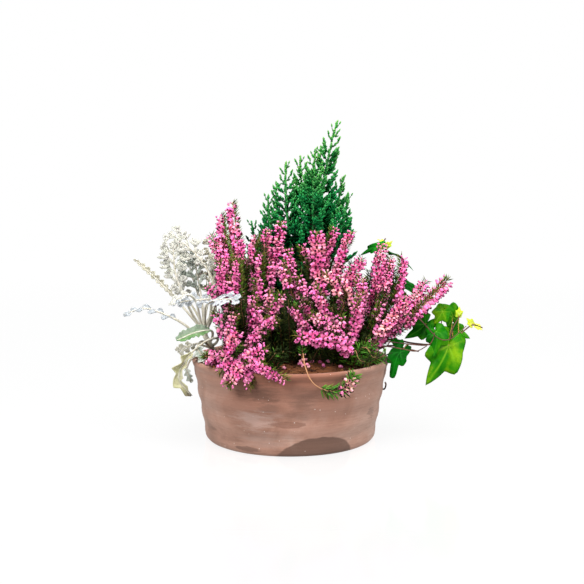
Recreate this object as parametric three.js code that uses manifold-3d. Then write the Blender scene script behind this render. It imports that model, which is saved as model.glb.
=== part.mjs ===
// Planted grave bowl: a wheel-thrown clay bowl of peat that holds a dwarf false cypress, two winter
// heaths, a dusty miller and a trailing ivy. Millimetres, +Z up, origin under the middle of the bowl.

import * as THREE from 'three';
import { mergeVertices } from 'three/addons/utils/BufferGeometryUtils.js';
import Module from 'manifold-3d';

const wasm = await Module();
wasm.setup();

// Bowl
const RIM_RADIUS = 125;
const CREASE_RADIUS = 121.5; // wall radius in the crease under the rolled rim
const BASE_RADIUS = 107;
const BOWL_HEIGHT = 102;
const RIM_BAND = 11;
const WALL = 6.5;
const FLOOR = 9;
const FLOOR_CURVE = 6; // the wall meets the floor in a slope this wide and high
const BASE_CHAMFER = 2;
const RIPPLES = 3.5; // throwing rings between the base and the rim
const RIPPLE_DEPTH = 0.7;
const WALL_STEPS = 15;
const BOWL_SEGMENTS = 60;
const DRAIN_COUNT = 3;
const DRAIN_RADIUS = 6;
const DRAIN_CIRCLE = 50; // the holes sit on this radius, so the middle of the base is solid

// Peat and clearances
const GAP = 0.3;
const PEAT_EDGE = 95; // height of the peat at the wall
const PEAT_RISE = 6; // how much higher it is in the middle
const SOCKET = 10; // how deep a stem goes into the peat
const SOCKET_REACH = 0.2; // share of a stem's length that its socket is cut for

// Plants: radii of the round stems, half thicknesses of the flat pieces
const STEM_SIDES = 6;
const LEAF_SIDES = 4;
const CARRY_STEPS = 200; // steps in which a blade's normal is carried along its middle line
const SPRAY_STALK = 1.4;
const SPRAY_THICKNESS = 3.2;
const SPRAY_TEETH = 13;
const MILLER_STALK = 1;
const MILLER_THICKNESS = 0.8;
const MILLER_LOBES = 5;
const IVY_STALK = 0.75;
const IVY_THICKNESS = 0.7;
const HEATH_STEM = 1.25;
const HEATH_STEM_RINGS = 6;
const WHORL_PITCH = 9.5; // distance between whorls of bells along a heath spike
const FIRST_WHORL = 0.88; // share of the way up to the last bend where the bells begin
const ROOT_SPREAD = 0.2; // a heath crown's share of the spread of its shoots

const v = (x, y, z) => new THREE.Vector3(x, y, z);
const FRONT = v(0, -1, 0.05);
const part = new THREE.Group();
part.name = 'planted_grave_bowl';

// ---------------------------------------------------------------------------------------------
// Solids

// One closed body: equal corners joined, empty triangles dropped and every face turned outwards.
function closed(geometry) {
  geometry.deleteAttribute('normal');
  geometry.deleteAttribute('uv');
  const merged = mergeVertices(geometry, 1e-4);
  const corners = merged.getAttribute('position');
  const kept = [];
  let volume = 0;
  for (let i = 0; i < merged.index.count; i += 3) {
    const [a, b, c] = [0, 1, 2].map((k) => merged.index.getX(i + k));
    if (a === b || b === c || c === a) continue;
    kept.push(a, b, c);
    const [p, q, r] = [a, b, c].map((k) => v().fromBufferAttribute(corners, k));
    volume += p.dot(q.cross(r));
  }
  merged.setIndex(volume < 0 ? kept.reverse() : kept);
  return merged;
}

function solidOf(geometry) {
  const corners = Float32Array.from(geometry.getAttribute('position').array);
  const triangles = Uint32Array.from(geometry.index.array);
  return new wasm.Manifold(new wasm.Mesh({ numProp: 3, vertProperties: corners, triVerts: triangles }));
}

function geometryOf(solid) {
  const mesh = solid.getMesh();
  const geometry = new THREE.BufferGeometry();
  geometry.setAttribute('position', new THREE.BufferAttribute(mesh.vertProperties, 3));
  geometry.setIndex(new THREE.BufferAttribute(mesh.triVerts, 1));
  return geometry;
}

// Cuts the cutters out of a body and keeps the largest piece that is left.
function cut(geometry, cutters) {
  const left = solidOf(geometry).subtract(wasm.Manifold.union(cutters.map(solidOf)));
  const pieces = left.decompose();
  pieces.sort((a, b) => b.volume() - a.volume());
  return geometryOf(pieces[0]);
}

function add(name, geometry, color, roughness) {
  geometry.computeVertexNormals();
  const material = new THREE.MeshStandardMaterial({ color, roughness, metalness: 0 });
  const mesh = new THREE.Mesh(geometry, material);
  mesh.name = name;
  part.add(mesh);
}

function turned(outline, segments) {
  const points = outline.map(([radius, height]) => new THREE.Vector2(radius, height));
  return closed(new THREE.LatheGeometry(points, segments).rotateX(Math.PI / 2));
}

// Normals along a curve, carried back from `facing` at its tip, so that a bent stalk never twists.
function carriedNormals(curve, facing) {
  const normals = [];
  let normal = facing;
  for (let k = CARRY_STEPS; k >= 0; k -= 1) {
    const along = curve.getTangentAt(k / CARRY_STEPS);
    normal = normal.clone().addScaledVector(along, -normal.dot(along)).normalize();
    normals[k] = normal;
  }
  return normals;
}

// A turned profile bent along a curve. A station is [place along, half width, half thickness], the
// blade faces `facing` at its tip, and `extra` swells the whole body for the clearance around it.
function grown(curve, stations, facing, sides, extra = 0) {
  const profile = stations.map(([place, wide]) => new THREE.Vector2(wide, place));
  const geometry = new THREE.LatheGeometry(profile, sides);
  const corners = geometry.getAttribute('position');
  const normals = carriedNormals(curve, facing);
  for (let i = 0; i < corners.count; i += 1) {
    const [place, wide, thick] = stations[i % stations.length];
    const angle = (2 * Math.PI * Math.floor(i / stations.length)) / sides;
    const along = curve.getTangentAt(place);
    const carried = normals[Math.round(place * CARRY_STEPS)];
    const normal = carried.clone().addScaledVector(along, -carried.dot(along)).normalize();
    const side = along.clone().cross(normal);
    const corner = curve.getPointAt(place);
    if (wide > 0) {
      corner.addScaledVector(side, Math.sin(angle) * (wide + extra));
      corner.addScaledVector(normal, Math.cos(angle) * (thick + extra));
    }
    if (place === 0) corner.addScaledVector(along, -extra);
    if (place === 1) corner.addScaledVector(along, extra);
    corners.setXYZ(i, corner.x, corner.y, corner.z);
  }
  return closed(geometry);
}

function curveThrough(points) {
  return new THREE.CatmullRomCurve3(points, false, 'centripetal');
}

// Share of a curve's length at which the given one of its points lies.
function placeOf(curve, index) {
  const steps = 240;
  const lengths = curve.getLengths(steps);
  const step = Math.round((steps * index) / (curve.points.length - 1));
  return lengths[step] / lengths[steps];
}

// A round tapering stem with a flat foot and a blunt tip.
function stemStations(footRadius, tipRadius, rings) {
  const stations = [[0, 0, 0]];
  for (let k = 0; k < rings; k += 1) {
    const radius = THREE.MathUtils.lerp(footRadius, tipRadius, k / rings);
    stations.push([k / rings, radius, radius]);
  }
  stations.push([0.985, tipRadius * 0.8, tipRadius * 0.8], [1, 0, 0]);
  return stations;
}

// ---------------------------------------------------------------------------------------------
// Bowl: thrown and fired clay with a rolled rim, throwing rings and three drain holes

const CREASE_Z = BOWL_HEIGHT - RIM_BAND;

function wallRadius(z) {
  const slope = THREE.MathUtils.lerp(BASE_RADIUS, CREASE_RADIUS, z / CREASE_Z);
  return slope + RIPPLE_DEPTH * Math.sin((2 * Math.PI * RIPPLES * z) / CREASE_Z);
}

function innerRadius(z) {
  return THREE.MathUtils.lerp(BASE_RADIUS, RIM_RADIUS, z / BOWL_HEIGHT) - WALL;
}

function makeBowl() {
  const outline = [[0, 0], [BASE_RADIUS - BASE_CHAMFER, 0]];
  for (let k = 0; k <= WALL_STEPS; k += 1) {
    const z = THREE.MathUtils.lerp(BASE_CHAMFER, CREASE_Z, k / WALL_STEPS);
    outline.push([wallRadius(z), z]);
  }
  outline.push([RIM_RADIUS - 1.4, CREASE_Z + 1.5], [RIM_RADIUS, CREASE_Z + 5]);
  outline.push([RIM_RADIUS - 0.6, BOWL_HEIGHT - 2], [RIM_RADIUS - 2.6, BOWL_HEIGHT]);
  outline.push([RIM_RADIUS - 5, BOWL_HEIGHT - 0.3], [innerRadius(BOWL_HEIGHT), BOWL_HEIGHT - 2.5]);
  outline.push([innerRadius(FLOOR + FLOOR_CURVE), FLOOR + FLOOR_CURVE]);
  outline.push([innerRadius(FLOOR) - FLOOR_CURVE, FLOOR], [0, FLOOR]);
  const drains = [];
  for (let k = 0; k < DRAIN_COUNT; k += 1) {
    const angle = (2 * Math.PI * (k + 0.25)) / DRAIN_COUNT;
    const drain = new THREE.CylinderGeometry(DRAIN_RADIUS, DRAIN_RADIUS, 4 * FLOOR, 16);
    drain.rotateX(Math.PI / 2);
    drain.translate(DRAIN_CIRCLE * Math.cos(angle), DRAIN_CIRCLE * Math.sin(angle), 0);
    drains.push(closed(drain));
  }
  return cut(turned(outline, BOWL_SEGMENTS), drains);
}

// ---------------------------------------------------------------------------------------------
// Peat: fills the bowl, a little higher in the middle, with a socket for every stem that enters it

const sockets = [];

function peatHeight(x, y) {
  const share = (x * x + y * y) / innerRadius(PEAT_EDGE) ** 2;
  return PEAT_EDGE + PEAT_RISE * (1 - share);
}

function makePeat() {
  const outline = [[0, FLOOR + GAP], [innerRadius(FLOOR) - FLOOR_CURVE - GAP, FLOOR + GAP]];
  outline.push([innerRadius(FLOOR + FLOOR_CURVE) - GAP, FLOOR + FLOOR_CURVE]);
  const edge = innerRadius(PEAT_EDGE) - GAP;
  [1, 0.8, 0.5, 0].forEach((share) => outline.push([edge * share, peatHeight(edge * share, 0)]));
  return cut(turned(outline, BOWL_SEGMENTS), sockets);
}

// A stem's foot below the peat, and the point where it leaves the peat.
function rooted(x, y) {
  const z = peatHeight(x, y);
  return [v(x, y, z - SOCKET), v(x, y, z)];
}

// A stem that stands in the peat, with its socket.
function planted(curve, stations, facing) {
  const inPeat = stations.filter(([place]) => place < SOCKET_REACH);
  const [, radius] = inPeat[inPeat.length - 1];
  inPeat.push([SOCKET_REACH, radius, radius], [SOCKET_REACH + 0.01, 0, 0]);
  sockets.push(grown(curve, inPeat, facing, STEM_SIDES, GAP));
  return grown(curve, stations, facing, STEM_SIDES);
}

// ---------------------------------------------------------------------------------------------
// False cypress: a woody trunk with flat, feathery upright sprays of scale leaves

const trunk = curveThrough([...rooted(22, 55), v(27, 56, 150), v(33, 56, 205), v(38, 57, 262)]);
const trunkStations = stemStations(4.6, 1.8, 7);

// Each spray's middle line runs from the trunk to its tip.
const sprays = [
  { line: [v(38, 57, 262), v(43, 59, 320), v(51, 60, 362), v(61, 60, 401)],
    wide: 17, facing: v(0.1, -1, 0.1) },
  { line: [v(34, 56, 218), v(30, 44, 268), v(30, 42, 318), v(32, 44, 365)],
    wide: 14, facing: v(-0.5, -1, 0) },
  { line: [v(31, 56, 192), v(20, 68, 250), v(15, 74, 310), v(13, 72, 357)],
    wide: 13, facing: v(0.6, -1, 0) },
  { line: [v(29, 56, 178), v(6, 50, 225), v(-6, 50, 292), v(-6, 52, 348)],
    wide: 13, facing: v(-0.4, -1, 0) },
  { line: [v(26, 56, 156), v(-8, 46, 200), v(-25, 42, 252), v(-29, 42, 306)],
    wide: 14, facing: v(-0.7, -1, 0) },
  { line: [v(25, 57, 140), v(-20, 64, 175), v(-42, 68, 225), v(-52, 68, 271)],
    wide: 13, facing: v(0.4, -1, 0) },
  { line: [v(32, 57, 204), v(50, 74, 250), v(62, 80, 292), v(71, 80, 330)],
    wide: 14, facing: v(0.7, -1, 0) },
  { line: [v(27, 56, 164), v(52, 46, 212), v(66, 42, 262), v(76, 42, 308)],
    wide: 14, facing: v(0.4, -1, 0) },
];

function sprayStations(wide) {
  const bare = 0.12;
  const stations = [[0, 0, 0], [0, SPRAY_STALK, SPRAY_STALK], [0.1, SPRAY_STALK, SPRAY_STALK]];
  for (let k = 0; k < SPRAY_TEETH; k += 1) {
    const share = (k + 0.5) / SPRAY_TEETH;
    const outline = Math.sin(Math.PI * share ** 0.75) ** 0.7;
    const notch = k % 2 === 0 ? 1 : 0.62; // side twigs stand out between the gaps
    const thick = SPRAY_THICKNESS * (0.35 + 0.65 * outline);
    stations.push([bare + 0.86 * share, wide * outline * notch, thick]);
  }
  stations.push([1, 0, 0]);
  return stations;
}

// ---------------------------------------------------------------------------------------------
// Dusty miller: a short woody stem with long-stalked, deeply cut, felted leaves

const millerStem = curveThrough([...rooted(-92, -8), v(-99, -7, 112), v(-107, -5, 126), v(-112, -4, 138)]);
const millerStemStations = stemStations(4, 3.2, 5);

// Each leaf's middle line runs from the stem to its tip, and `stalk` is the share of it that is bare.
const millerLeaves = [
  { line: [v(-107, -5, 126), v(-121, -7, 133), v(-138, -8, 146), v(-165, -9, 159), v(-186, -9, 164),
    v(-209, -10, 156)], stalk: 0.36, wide: 7, facing: v(0.1, -0.6, 0.8) },
  { line: [v(-110, -4, 134), v(-118, 2, 142), v(-146, 9, 173), v(-174, 15, 201), v(-201, 20, 224)],
    stalk: 0.4, wide: 7, facing: v(-0.4, -0.7, 0.6) },
  { line: [v(-112, -4, 137), v(-121, -9, 152), v(-133, -12, 178), v(-143, -13, 205), v(-147, -11, 246)],
    stalk: 0.42, wide: 16, facing: v(0, -1, 0.1) },
  { line: [v(-111, -4, 136), v(-102, 0, 152), v(-96, 4, 188), v(-113, 10, 222), v(-134, 14, 243),
    v(-153, 14, 258)], stalk: 0.5, wide: 14, facing: v(0.3, -0.9, 0.3) },
  { line: [v(-109, -4, 131), v(-100, 4, 152), v(-97, 20, 195), v(-101, 28, 246)],
    stalk: 0.5, wide: 12, facing: v(0.1, -1, 0.1) },
  { line: [v(-110, -4, 134), v(-107, -20, 150), v(-103, -42, 172), v(-86, -62, 181), v(-63, -78, 183)],
    stalk: 0.46, wide: 10, facing: v(0, -0.5, 0.9) },
  { line: [v(-109, -5, 130), v(-113, -19, 152), v(-117, -33, 176), v(-126, -42, 185), v(-144, -48, 177)],
    stalk: 0.5, wide: 9, facing: v(0, -0.3, 0.9) },
  { line: [v(-102, -6, 118), v(-97, -22, 134), v(-100, -36, 140), v(-117, -43, 138), v(-139, -47, 129)],
    stalk: 0.42, wide: 7.5, facing: v(0, -0.7, 0.7), old: true },
  { line: [v(-99, -7, 112), v(-90, -34, 130), v(-104, -48, 128), v(-126, -49, 108), v(-137, -46, 82),
    v(-122, -44, 60)], stalk: 0.5, wide: 8, facing: v(-0.9, -0.4, 0.4), old: true },
  { line: [v(-110, -4, 133), v(-113, 14, 160), v(-126, 26, 198), v(-136, 30, 234)],
    stalk: 0.45, wide: 12, facing: v(-0.2, -1, 0.1) },
];

function millerStations(stalk, wide) {
  const stations = [[0, 0, 0], [0, MILLER_STALK, MILLER_STALK]];
  [0.25, 0.5, 0.75, 1].forEach((share) => stations.push([stalk * share, MILLER_STALK, MILLER_STALK]));
  for (let k = 0; k < MILLER_LOBES; k += 1) {
    const share = (k + 0.35) / MILLER_LOBES;
    const reach = wide * Math.sin(Math.PI * (0.22 + 0.68 * share));
    const notch = stalk + ((1 - stalk) * (k + 0.9)) / MILLER_LOBES;
    stations.push([stalk + (1 - stalk) * share, reach, MILLER_THICKNESS]);
    if (k < MILLER_LOBES - 1) stations.push([notch, reach * 0.45, MILLER_THICKNESS]);
  }
  stations.push([1, 0, 0]);
  return stations;
}

// ---------------------------------------------------------------------------------------------
// Ivy: thin trailing vines with long-stalked lobed leaves

const vines = [
  [...rooted(97, -8), v(108, -8, 113), v(126, -8, 124), v(152, -9, 120), v(180, -9, 118),
    v(198, -8, 123), v(216, -8, 131), v(228, -8, 143), v(243, -8, 139)],
  [...rooted(90, 6), v(104, 6, 126), v(138, 3, 152), v(165, 1, 150), v(175, -3, 138), v(187, -6, 124)],
  [...rooted(99, -22), v(109, -20, 112), v(124, -19, 118), v(144, -21, 115), v(161, -21, 111)],
  [...rooted(84, 26), v(95, 32, 145), v(104, 38, 195), v(112, 38, 230), v(124, 38, 250)],
].map(curveThrough);
const vineStations = stemStations(1.4, 0.9, 14);

// Each leaf hangs on the vine with the given number, its middle line running from the vine to its tip.
const ivyLeaves = [
  { vine: 1, line: [v(194, -8.5, 121.5), v(199, -18, 122), v(190, -29, 102), v(169, -34, 70)],
    stalk: 0.2, wide: 24, facing: v(0.15, -1, 0.25) },
  { vine: 1, line: [v(176, -9, 118), v(180, -16, 136), v(183, -27, 134), v(178, -31, 104)],
    stalk: 0.42, wide: 14, facing: v(-0.1, -1, 0.2) },
  { vine: 1, line: [v(200, -8, 124), v(206, -3, 146), v(203, -6, 160), v(188, -9, 170)],
    stalk: 0.5, wide: 12, facing: v(0.2, -1, 0.2) },
  { vine: 1, line: [v(206, -8, 127), v(207, 0, 133), v(214, 4, 132), v(230, 2, 124)],
    stalk: 0.28, wide: 12, facing: v(0, -0.9, 0.5) },
  { vine: 2, line: [v(170, -1, 145), v(172, -10, 146), v(164, -12, 138), v(144, -13, 126)],
    stalk: 0.25, wide: 13, facing: v(0, -1, 0.2) },
  { vine: 3, line: [v(147, -21, 114.5), v(145, -32, 124), v(138, -41, 118), v(130, -46, 82)],
    stalk: 0.32, wide: 14, facing: v(0.1, -1, 0.1) },
  { vine: 4, line: [v(112, 38, 231), v(115, 32, 240), v(108, 31, 238), v(90, 32, 228)],
    stalk: 0.3, wide: 9, facing: v(0, -1, 0.3) },
  { vine: 4, line: [v(100, 36, 172), v(122, 22, 188), v(146, 9, 191), v(178, 4, 176)],
    stalk: 0.5, wide: 9, facing: v(0.2, -0.5, 0.9) },
];

// Outline of an ivy blade: share of its length, share of its greatest half width.
const IVY_OUTLINE = [[0.03, 0.62], [0.2, 0.98], [0.32, 1], [0.46, 0.6], [0.62, 0.5], [0.82, 0.26]];

function ivyStations(stalk, wide) {
  const stations = [[0, 0, 0]];
  [0, 0.5, 1].forEach((share) => stations.push([stalk * share, IVY_STALK, IVY_STALK]));
  IVY_OUTLINE.forEach(([share, reach]) => {
    stations.push([stalk + (1 - stalk) * share, wide * reach, IVY_THICKNESS]);
  });
  stations.push([1, 0, 0]);
  return stations;
}

// ---------------------------------------------------------------------------------------------
// Winter heath: two plants whose woody shoots fan out from a crown and end in spikes of bells

const LEFT_CROWN = v(-50, -30, 0);
const RIGHT_CROWN = v(54, -28, 0);

// Each shoot bends at `low`, near its lowest whorl, and ends at `tip`. `wide` is its spike's radius.
const shoots = [
  { crown: LEFT_CROWN, low: v(-64, -5, 234), tip: v(-73, 10, 297), wide: 7.5 },
  { crown: LEFT_CROWN, low: v(-80, -15, 246), tip: v(-86, -6, 282), wide: 7 },
  { crown: LEFT_CROWN, low: v(-72, -32, 205), tip: v(-97, -30, 258), wide: 7 },
  { crown: LEFT_CROWN, low: v(-86, -52, 190), tip: v(-86, -55, 227), wide: 6.5 },
  { crown: LEFT_CROWN, low: v(-47, -15, 206), tip: v(-43, -5, 256), wide: 7.5 },
  { crown: LEFT_CROWN, low: v(-18, 8, 224), tip: v(-11, 20, 273), wide: 7 },
  { crown: LEFT_CROWN, low: v(-63, -42, 170), tip: v(-63, -47, 224), wide: 7 },
  { crown: LEFT_CROWN, low: v(-48, -72, 128), tip: v(-16, -88, 161), wide: 7.5 },
  { crown: LEFT_CROWN, low: v(-78, -92, 116), tip: v(-62, -86, 147), wide: 8.5 },
  { crown: LEFT_CROWN, low: v(-84, -78, 112), tip: v(-98, -94, 118), wide: 8 },
  { crown: LEFT_CROWN, low: v(-56, -106, 112), tip: v(-26, -112, 124), wide: 8.5 },
  { crown: LEFT_CROWN, low: v(-36, -120, 112), tip: v(-4, -136, 98), wide: 6.5 },
  { crown: RIGHT_CROWN, low: v(5, -18, 194), tip: v(-3, -10, 239), wide: 7.5 },
  { crown: RIGHT_CROWN, low: v(36, -22, 198), tip: v(33, -12, 261), wide: 8.5 },
  { crown: RIGHT_CROWN, low: v(42, 4, 222), tip: v(57, 14, 265), wide: 7.5 },
  { crown: RIGHT_CROWN, low: v(60, -6, 206), tip: v(77, 6, 260), wide: 7.5 },
  { crown: RIGHT_CROWN, low: v(70, -25, 186), tip: v(89, -18, 228), wide: 7.5 },
  { crown: RIGHT_CROWN, low: v(49, -52, 154), tip: v(28, -60, 198), wide: 8 },
  { crown: RIGHT_CROWN, low: v(88, -38, 168), tip: v(89, -38, 204), wide: 6.5 },
  { crown: RIGHT_CROWN, low: v(75, -60, 142), tip: v(81, -66, 179), wide: 8 },
  { crown: RIGHT_CROWN, low: v(101, -15, 168), tip: v(116, 2, 245), wide: 7.5 },
  { crown: RIGHT_CROWN, low: v(138, 5, 188), tip: v(142, 10, 228), wide: 7.5 },
  { crown: RIGHT_CROWN, low: v(105, -50, 128), tip: v(142, -52, 184), wide: 7 },
  { crown: RIGHT_CROWN, low: v(154, -25, 160), tip: v(197, -20, 203), wide: 7 },
  { crown: RIGHT_CROWN, low: v(68, -82, 128), tip: v(5, -102, 144), wide: 8.5 },
];

// One thin shoot leans over the front of the rim and hangs down the wall.
const trailing = curveThrough([...rooted(16, -62), v(14, -80, 114), v(15, -101, 122), v(17, -124, 112),
  v(25, -133, 95), v(44, -125, 83), v(62, -119, 84), v(73, -115, 98)]);
const TRAILING_FACING = v(1, 0, 0.2);

// The handles of a shoot's line: it leaves the crown outwards and then turns up.
function shootLine({ crown, low, tip, wide }) {
  const x = THREE.MathUtils.lerp(crown.x, low.x, ROOT_SPREAD);
  const y = THREE.MathUtils.lerp(crown.y, low.y, ROOT_SPREAD);
  const [foot, root] = rooted(x, y);
  const outward = v(low.x - x, low.y - y, 0).multiplyScalar(0.1);
  const knee = root.clone().lerp(low, 0.5).add(outward);
  return { foot, root, knee, low: low.clone(), tip: tip.clone(), wide };
}

// Round samples along a shoot, each with the two handles that carry it.
function shootSamples(shoot) {
  const bare = HEATH_STEM + 0.2;
  const samples = [];
  const sample = (from, to, share, radius) => {
    samples.push({ at: shoot[from].clone().lerp(shoot[to], share), radius, from, to, share });
  };
  for (let k = 1; k < 6; k += 1) sample('root', 'knee', k / 6, bare);
  for (let k = 0; k < 8; k += 1) sample('knee', 'low', k / 8, k < 5 ? bare : shoot.wide);
  for (let k = 0; k < 12; k += 1) sample('low', 'tip', k / 11, shoot.wide);
  return samples;
}

// Neighbouring shoots make room for one another, mostly by leaning forwards or back.
function makeRoom(lines, fixed) {
  const rounds = 90;
  const clearance = 1;
  const ease = v(0.08, 0.16, 0.08);
  for (let round = 0; round < rounds; round += 1) {
    const clouds = lines.map(shootSamples);
    lines.forEach((shoot, i) => {
      const others = clouds.filter((cloud, j) => j !== i).flat().concat(fixed);
      clouds[i].forEach((sample) => {
        others.forEach((other) => {
          const apart = sample.at.clone().sub(other.at);
          const lack = sample.radius + other.radius + clearance - apart.length();
          if (lack <= 0) return;
          const push = apart.normalize().multiply(ease).multiplyScalar(lack);
          if (sample.from !== 'root') shoot[sample.from].addScaledVector(push, 1 - sample.share);
          shoot[sample.to].addScaledVector(push, sample.share);
        });
      });
    });
  }
}

// Round samples along a piece that the heath keeps clear of.
function beads(curve, radius, from = 0) {
  const list = [];
  for (let place = from; place <= 1; place += 0.04) list.push({ at: curve.getPointAt(place), radius });
  return list;
}

function rimBeads() {
  const ring = new THREE.EllipseCurve(0, 0, RIM_RADIUS - 4, RIM_RADIUS - 4);
  return ring.getPoints(100).map((p) => ({ at: v(p.x, p.y, BOWL_HEIGHT - 5), radius: 5 }));
}

function spikeStations(curve, wide, from, stemRings) {
  const whorls = Math.max(2, Math.round(((1 - from) * curve.getLength()) / WHORL_PITCH));
  const stations = [[0, 0, 0]];
  for (let k = 0; k < stemRings; k += 1) stations.push([(from * k) / stemRings, HEATH_STEM, HEATH_STEM]);
  for (let k = 0; k < whorls; k += 1) {
    const taper = 1 - 0.4 * (k / whorls) ** 2;
    const neck = wide * taper * (k === 0 ? 0.35 : 0.66);
    stations.push([from + ((1 - from) * (k + 0.05)) / whorls, neck, neck]);
    stations.push([from + ((1 - from) * (k + 0.55)) / whorls, wide * taper, wide * taper]);
  }
  stations.push([1, 0, 0]);
  return stations;
}

function makeShoot({ foot, root, knee, low, tip, wide }) {
  const curve = curveThrough([foot, root, knee, low, tip]);
  const lowPlace = placeOf(curve, 3);
  const facing = tip.clone().sub(root).cross(v(0.3, 0.2, 1)).normalize();
  return planted(curve, spikeStations(curve, wide, FIRST_WHORL * lowPlace, HEATH_STEM_RINGS), facing);
}

// ---------------------------------------------------------------------------------------------
// Assembly: what the heath keeps clear of comes first, and the peat last, when its sockets are known

const fixed = [
  ...beads(trunk, 6, 0.1),
  ...sprays.flatMap(({ line, wide }) => beads(curveThrough(line), wide * 0.6, 0.15)),
  ...beads(millerStem, 6, 0.2),
  ...millerLeaves.flatMap(({ line, wide }) => beads(curveThrough(line), 2.5 + wide * 0.6)),
  ...vines.flatMap((vine) => beads(vine, 2.2, 0.08)),
  ...ivyLeaves.flatMap(({ line, wide }) => beads(curveThrough(line), wide * 0.6, 0.3)),
  ...beads(trailing, 2.4, 0.08),
  ...rimBeads(),
];
const shootLines = shoots.map(shootLine);
makeRoom(shootLines, fixed);

add('bowl', makeBowl(), '#a07f70', 0.85);

add('cypress_trunk', planted(trunk, trunkStations, FRONT), '#5b4030', 0.9);
const aroundTrunk = grown(trunk, trunkStations, FRONT, STEM_SIDES, GAP);
sprays.forEach(({ line, wide, facing }, i) => {
  const body = grown(curveThrough(line), sprayStations(wide), facing, LEAF_SIDES);
  add(`cypress_spray_${i + 1}`, cut(body, [aroundTrunk]), '#15743a', 0.6);
});

add('miller_stem', planted(millerStem, millerStemStations, FRONT), '#8d8672', 0.9);
const aroundMiller = grown(millerStem, millerStemStations, FRONT, STEM_SIDES, GAP);
millerLeaves.forEach(({ line, stalk, wide, facing, old }, i) => {
  const body = grown(curveThrough(line), millerStations(stalk, wide), facing, LEAF_SIDES);
  const name = `miller_leaf_${String(i + 1).padStart(2, '0')}`;
  add(name, cut(body, [aroundMiller]), old ? '#a9bb8f' : '#d9dcd6', 0.95);
});

vines.forEach((vine, i) => add(`ivy_vine_${i + 1}`, planted(vine, vineStations, FRONT), '#6b4038', 0.7));
const aroundVines = vines.map((vine) => grown(vine, vineStations, FRONT, STEM_SIDES, GAP));
ivyLeaves.forEach(({ vine, line, stalk, wide, facing }, i) => {
  const body = grown(curveThrough(line), ivyStations(stalk, wide), facing, LEAF_SIDES);
  add(`ivy_leaf_${i + 1}`, cut(body, [aroundVines[vine - 1]]), '#1f8a14', 0.45);
});

shootLines.forEach((line, i) => {
  add(`heath_shoot_${String(i + 1).padStart(2, '0')}`, makeShoot(line), '#e05cb0', 0.7);
});
const trailingStations = spikeStations(trailing, 6, 0.88, 15);
add('heath_trailing_shoot', planted(trailing, trailingStations, TRAILING_FACING), '#e05cb0', 0.7);

add('peat', makePeat(), '#4a3226', 1);

export default part;
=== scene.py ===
# Planted grave bowl: the finish of a clay bowl with a false cypress, two winter heaths, a dusty
# miller and an ivy, grown around the solids of the frame. Sizes are in millimetres, except where
# a comment says metres.

import math

import bmesh
import bpy
import numpy as np
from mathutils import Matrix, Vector, noise


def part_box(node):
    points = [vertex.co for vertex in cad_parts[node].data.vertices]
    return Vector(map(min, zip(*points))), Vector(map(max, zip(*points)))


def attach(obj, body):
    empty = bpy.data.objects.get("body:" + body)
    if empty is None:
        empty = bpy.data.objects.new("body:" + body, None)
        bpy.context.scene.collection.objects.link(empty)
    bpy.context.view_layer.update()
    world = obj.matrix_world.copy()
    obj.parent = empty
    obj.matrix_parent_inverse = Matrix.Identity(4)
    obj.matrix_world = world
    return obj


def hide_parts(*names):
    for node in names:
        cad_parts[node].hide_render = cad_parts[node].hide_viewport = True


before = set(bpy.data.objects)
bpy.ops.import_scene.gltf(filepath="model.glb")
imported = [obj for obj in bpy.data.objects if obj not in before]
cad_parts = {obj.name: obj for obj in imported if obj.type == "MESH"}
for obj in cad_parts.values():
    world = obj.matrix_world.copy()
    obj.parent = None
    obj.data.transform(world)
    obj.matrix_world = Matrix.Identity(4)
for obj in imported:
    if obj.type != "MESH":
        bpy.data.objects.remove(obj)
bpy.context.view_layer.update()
MM = 0.001

# ---------------------------------------------------------------------------------------------
# Table top, light and camera
# A polished white acrylic sheet under a broad overhead softbox, with white walls all round that
# fill every shadow. The camera stands a little above the rim, more than a metre away. Sizes and
# places in this section are in metres.

CAMERA_PLACE = (0.0021, -1.157, 0.308)
CAMERA_DIP = 6.13  # degrees below the horizon
CAMERA_LENS = 56.56
TABLE_SIDE = 6.0
TABLE_GLOW = 0.832
TABLE_LIGHT = 0.31
WALL_LIGHT = 0.26
AIM_PLACE = (0, 0, 0.15)  # what the softboxes face


def linear(code):
    """An sRGB hex colour as linear red, green, blue and alpha."""
    shares = [int(code[k:k + 2], 16) / 255 for k in (1, 3, 5)]
    return [s / 12.92 if s <= 0.04045 else ((s + 0.055) / 1.055) ** 2.4 for s in shares] + [1.0]


def set_inputs(tree, node, inputs):
    """Sets a node's inputs, or links them to a socket or to the output of another node."""
    for key, value in inputs.items():
        if isinstance(value, bpy.types.Node):
            value = next(output for output in value.outputs if output.enabled)
        if isinstance(value, bpy.types.NodeSocket):
            tree.links.new(value, node.inputs[key])
        else:
            node.inputs[key].default_value = value


def add_node(tree, kind, settings, inputs):
    """Adds a shader node with its settings and inputs."""
    node = tree.nodes.new("ShaderNode" + kind)
    for name, value in settings.items():
        if name == "stops":
            elements = node.color_ramp.elements
            while len(elements) < len(value):
                elements.new(0.5)
            for element, (place, code) in zip(elements, value):
                element.position = place
                element.color = linear(code)
        else:
            setattr(node, name, value)
    set_inputs(tree, node, inputs)
    return node


def start_material(name, inputs):
    """A material with its finish still to be filled in: the material, its nodes and its shader."""
    material = bpy.data.materials.new(name)
    material.use_nodes = True
    tree = material.node_tree
    shader = tree.nodes["Principled BSDF"]
    set_inputs(tree, shader, inputs)
    return material, tree, shader


def link_mesh(name, mesh, materials):
    """A smoothly shaded object at the origin, from a mesh."""
    mesh.shade_smooth()
    for material in materials:
        mesh.materials.append(material)
    made = bpy.data.objects.new(name, mesh)
    bpy.context.scene.collection.objects.link(made)
    return made


def add_object(name, bm, materials):
    """Turns a bmesh into an object."""
    mesh = bpy.data.meshes.new(name)
    bm.to_mesh(mesh)
    bm.free()
    return link_mesh(name, mesh, materials)


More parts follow.
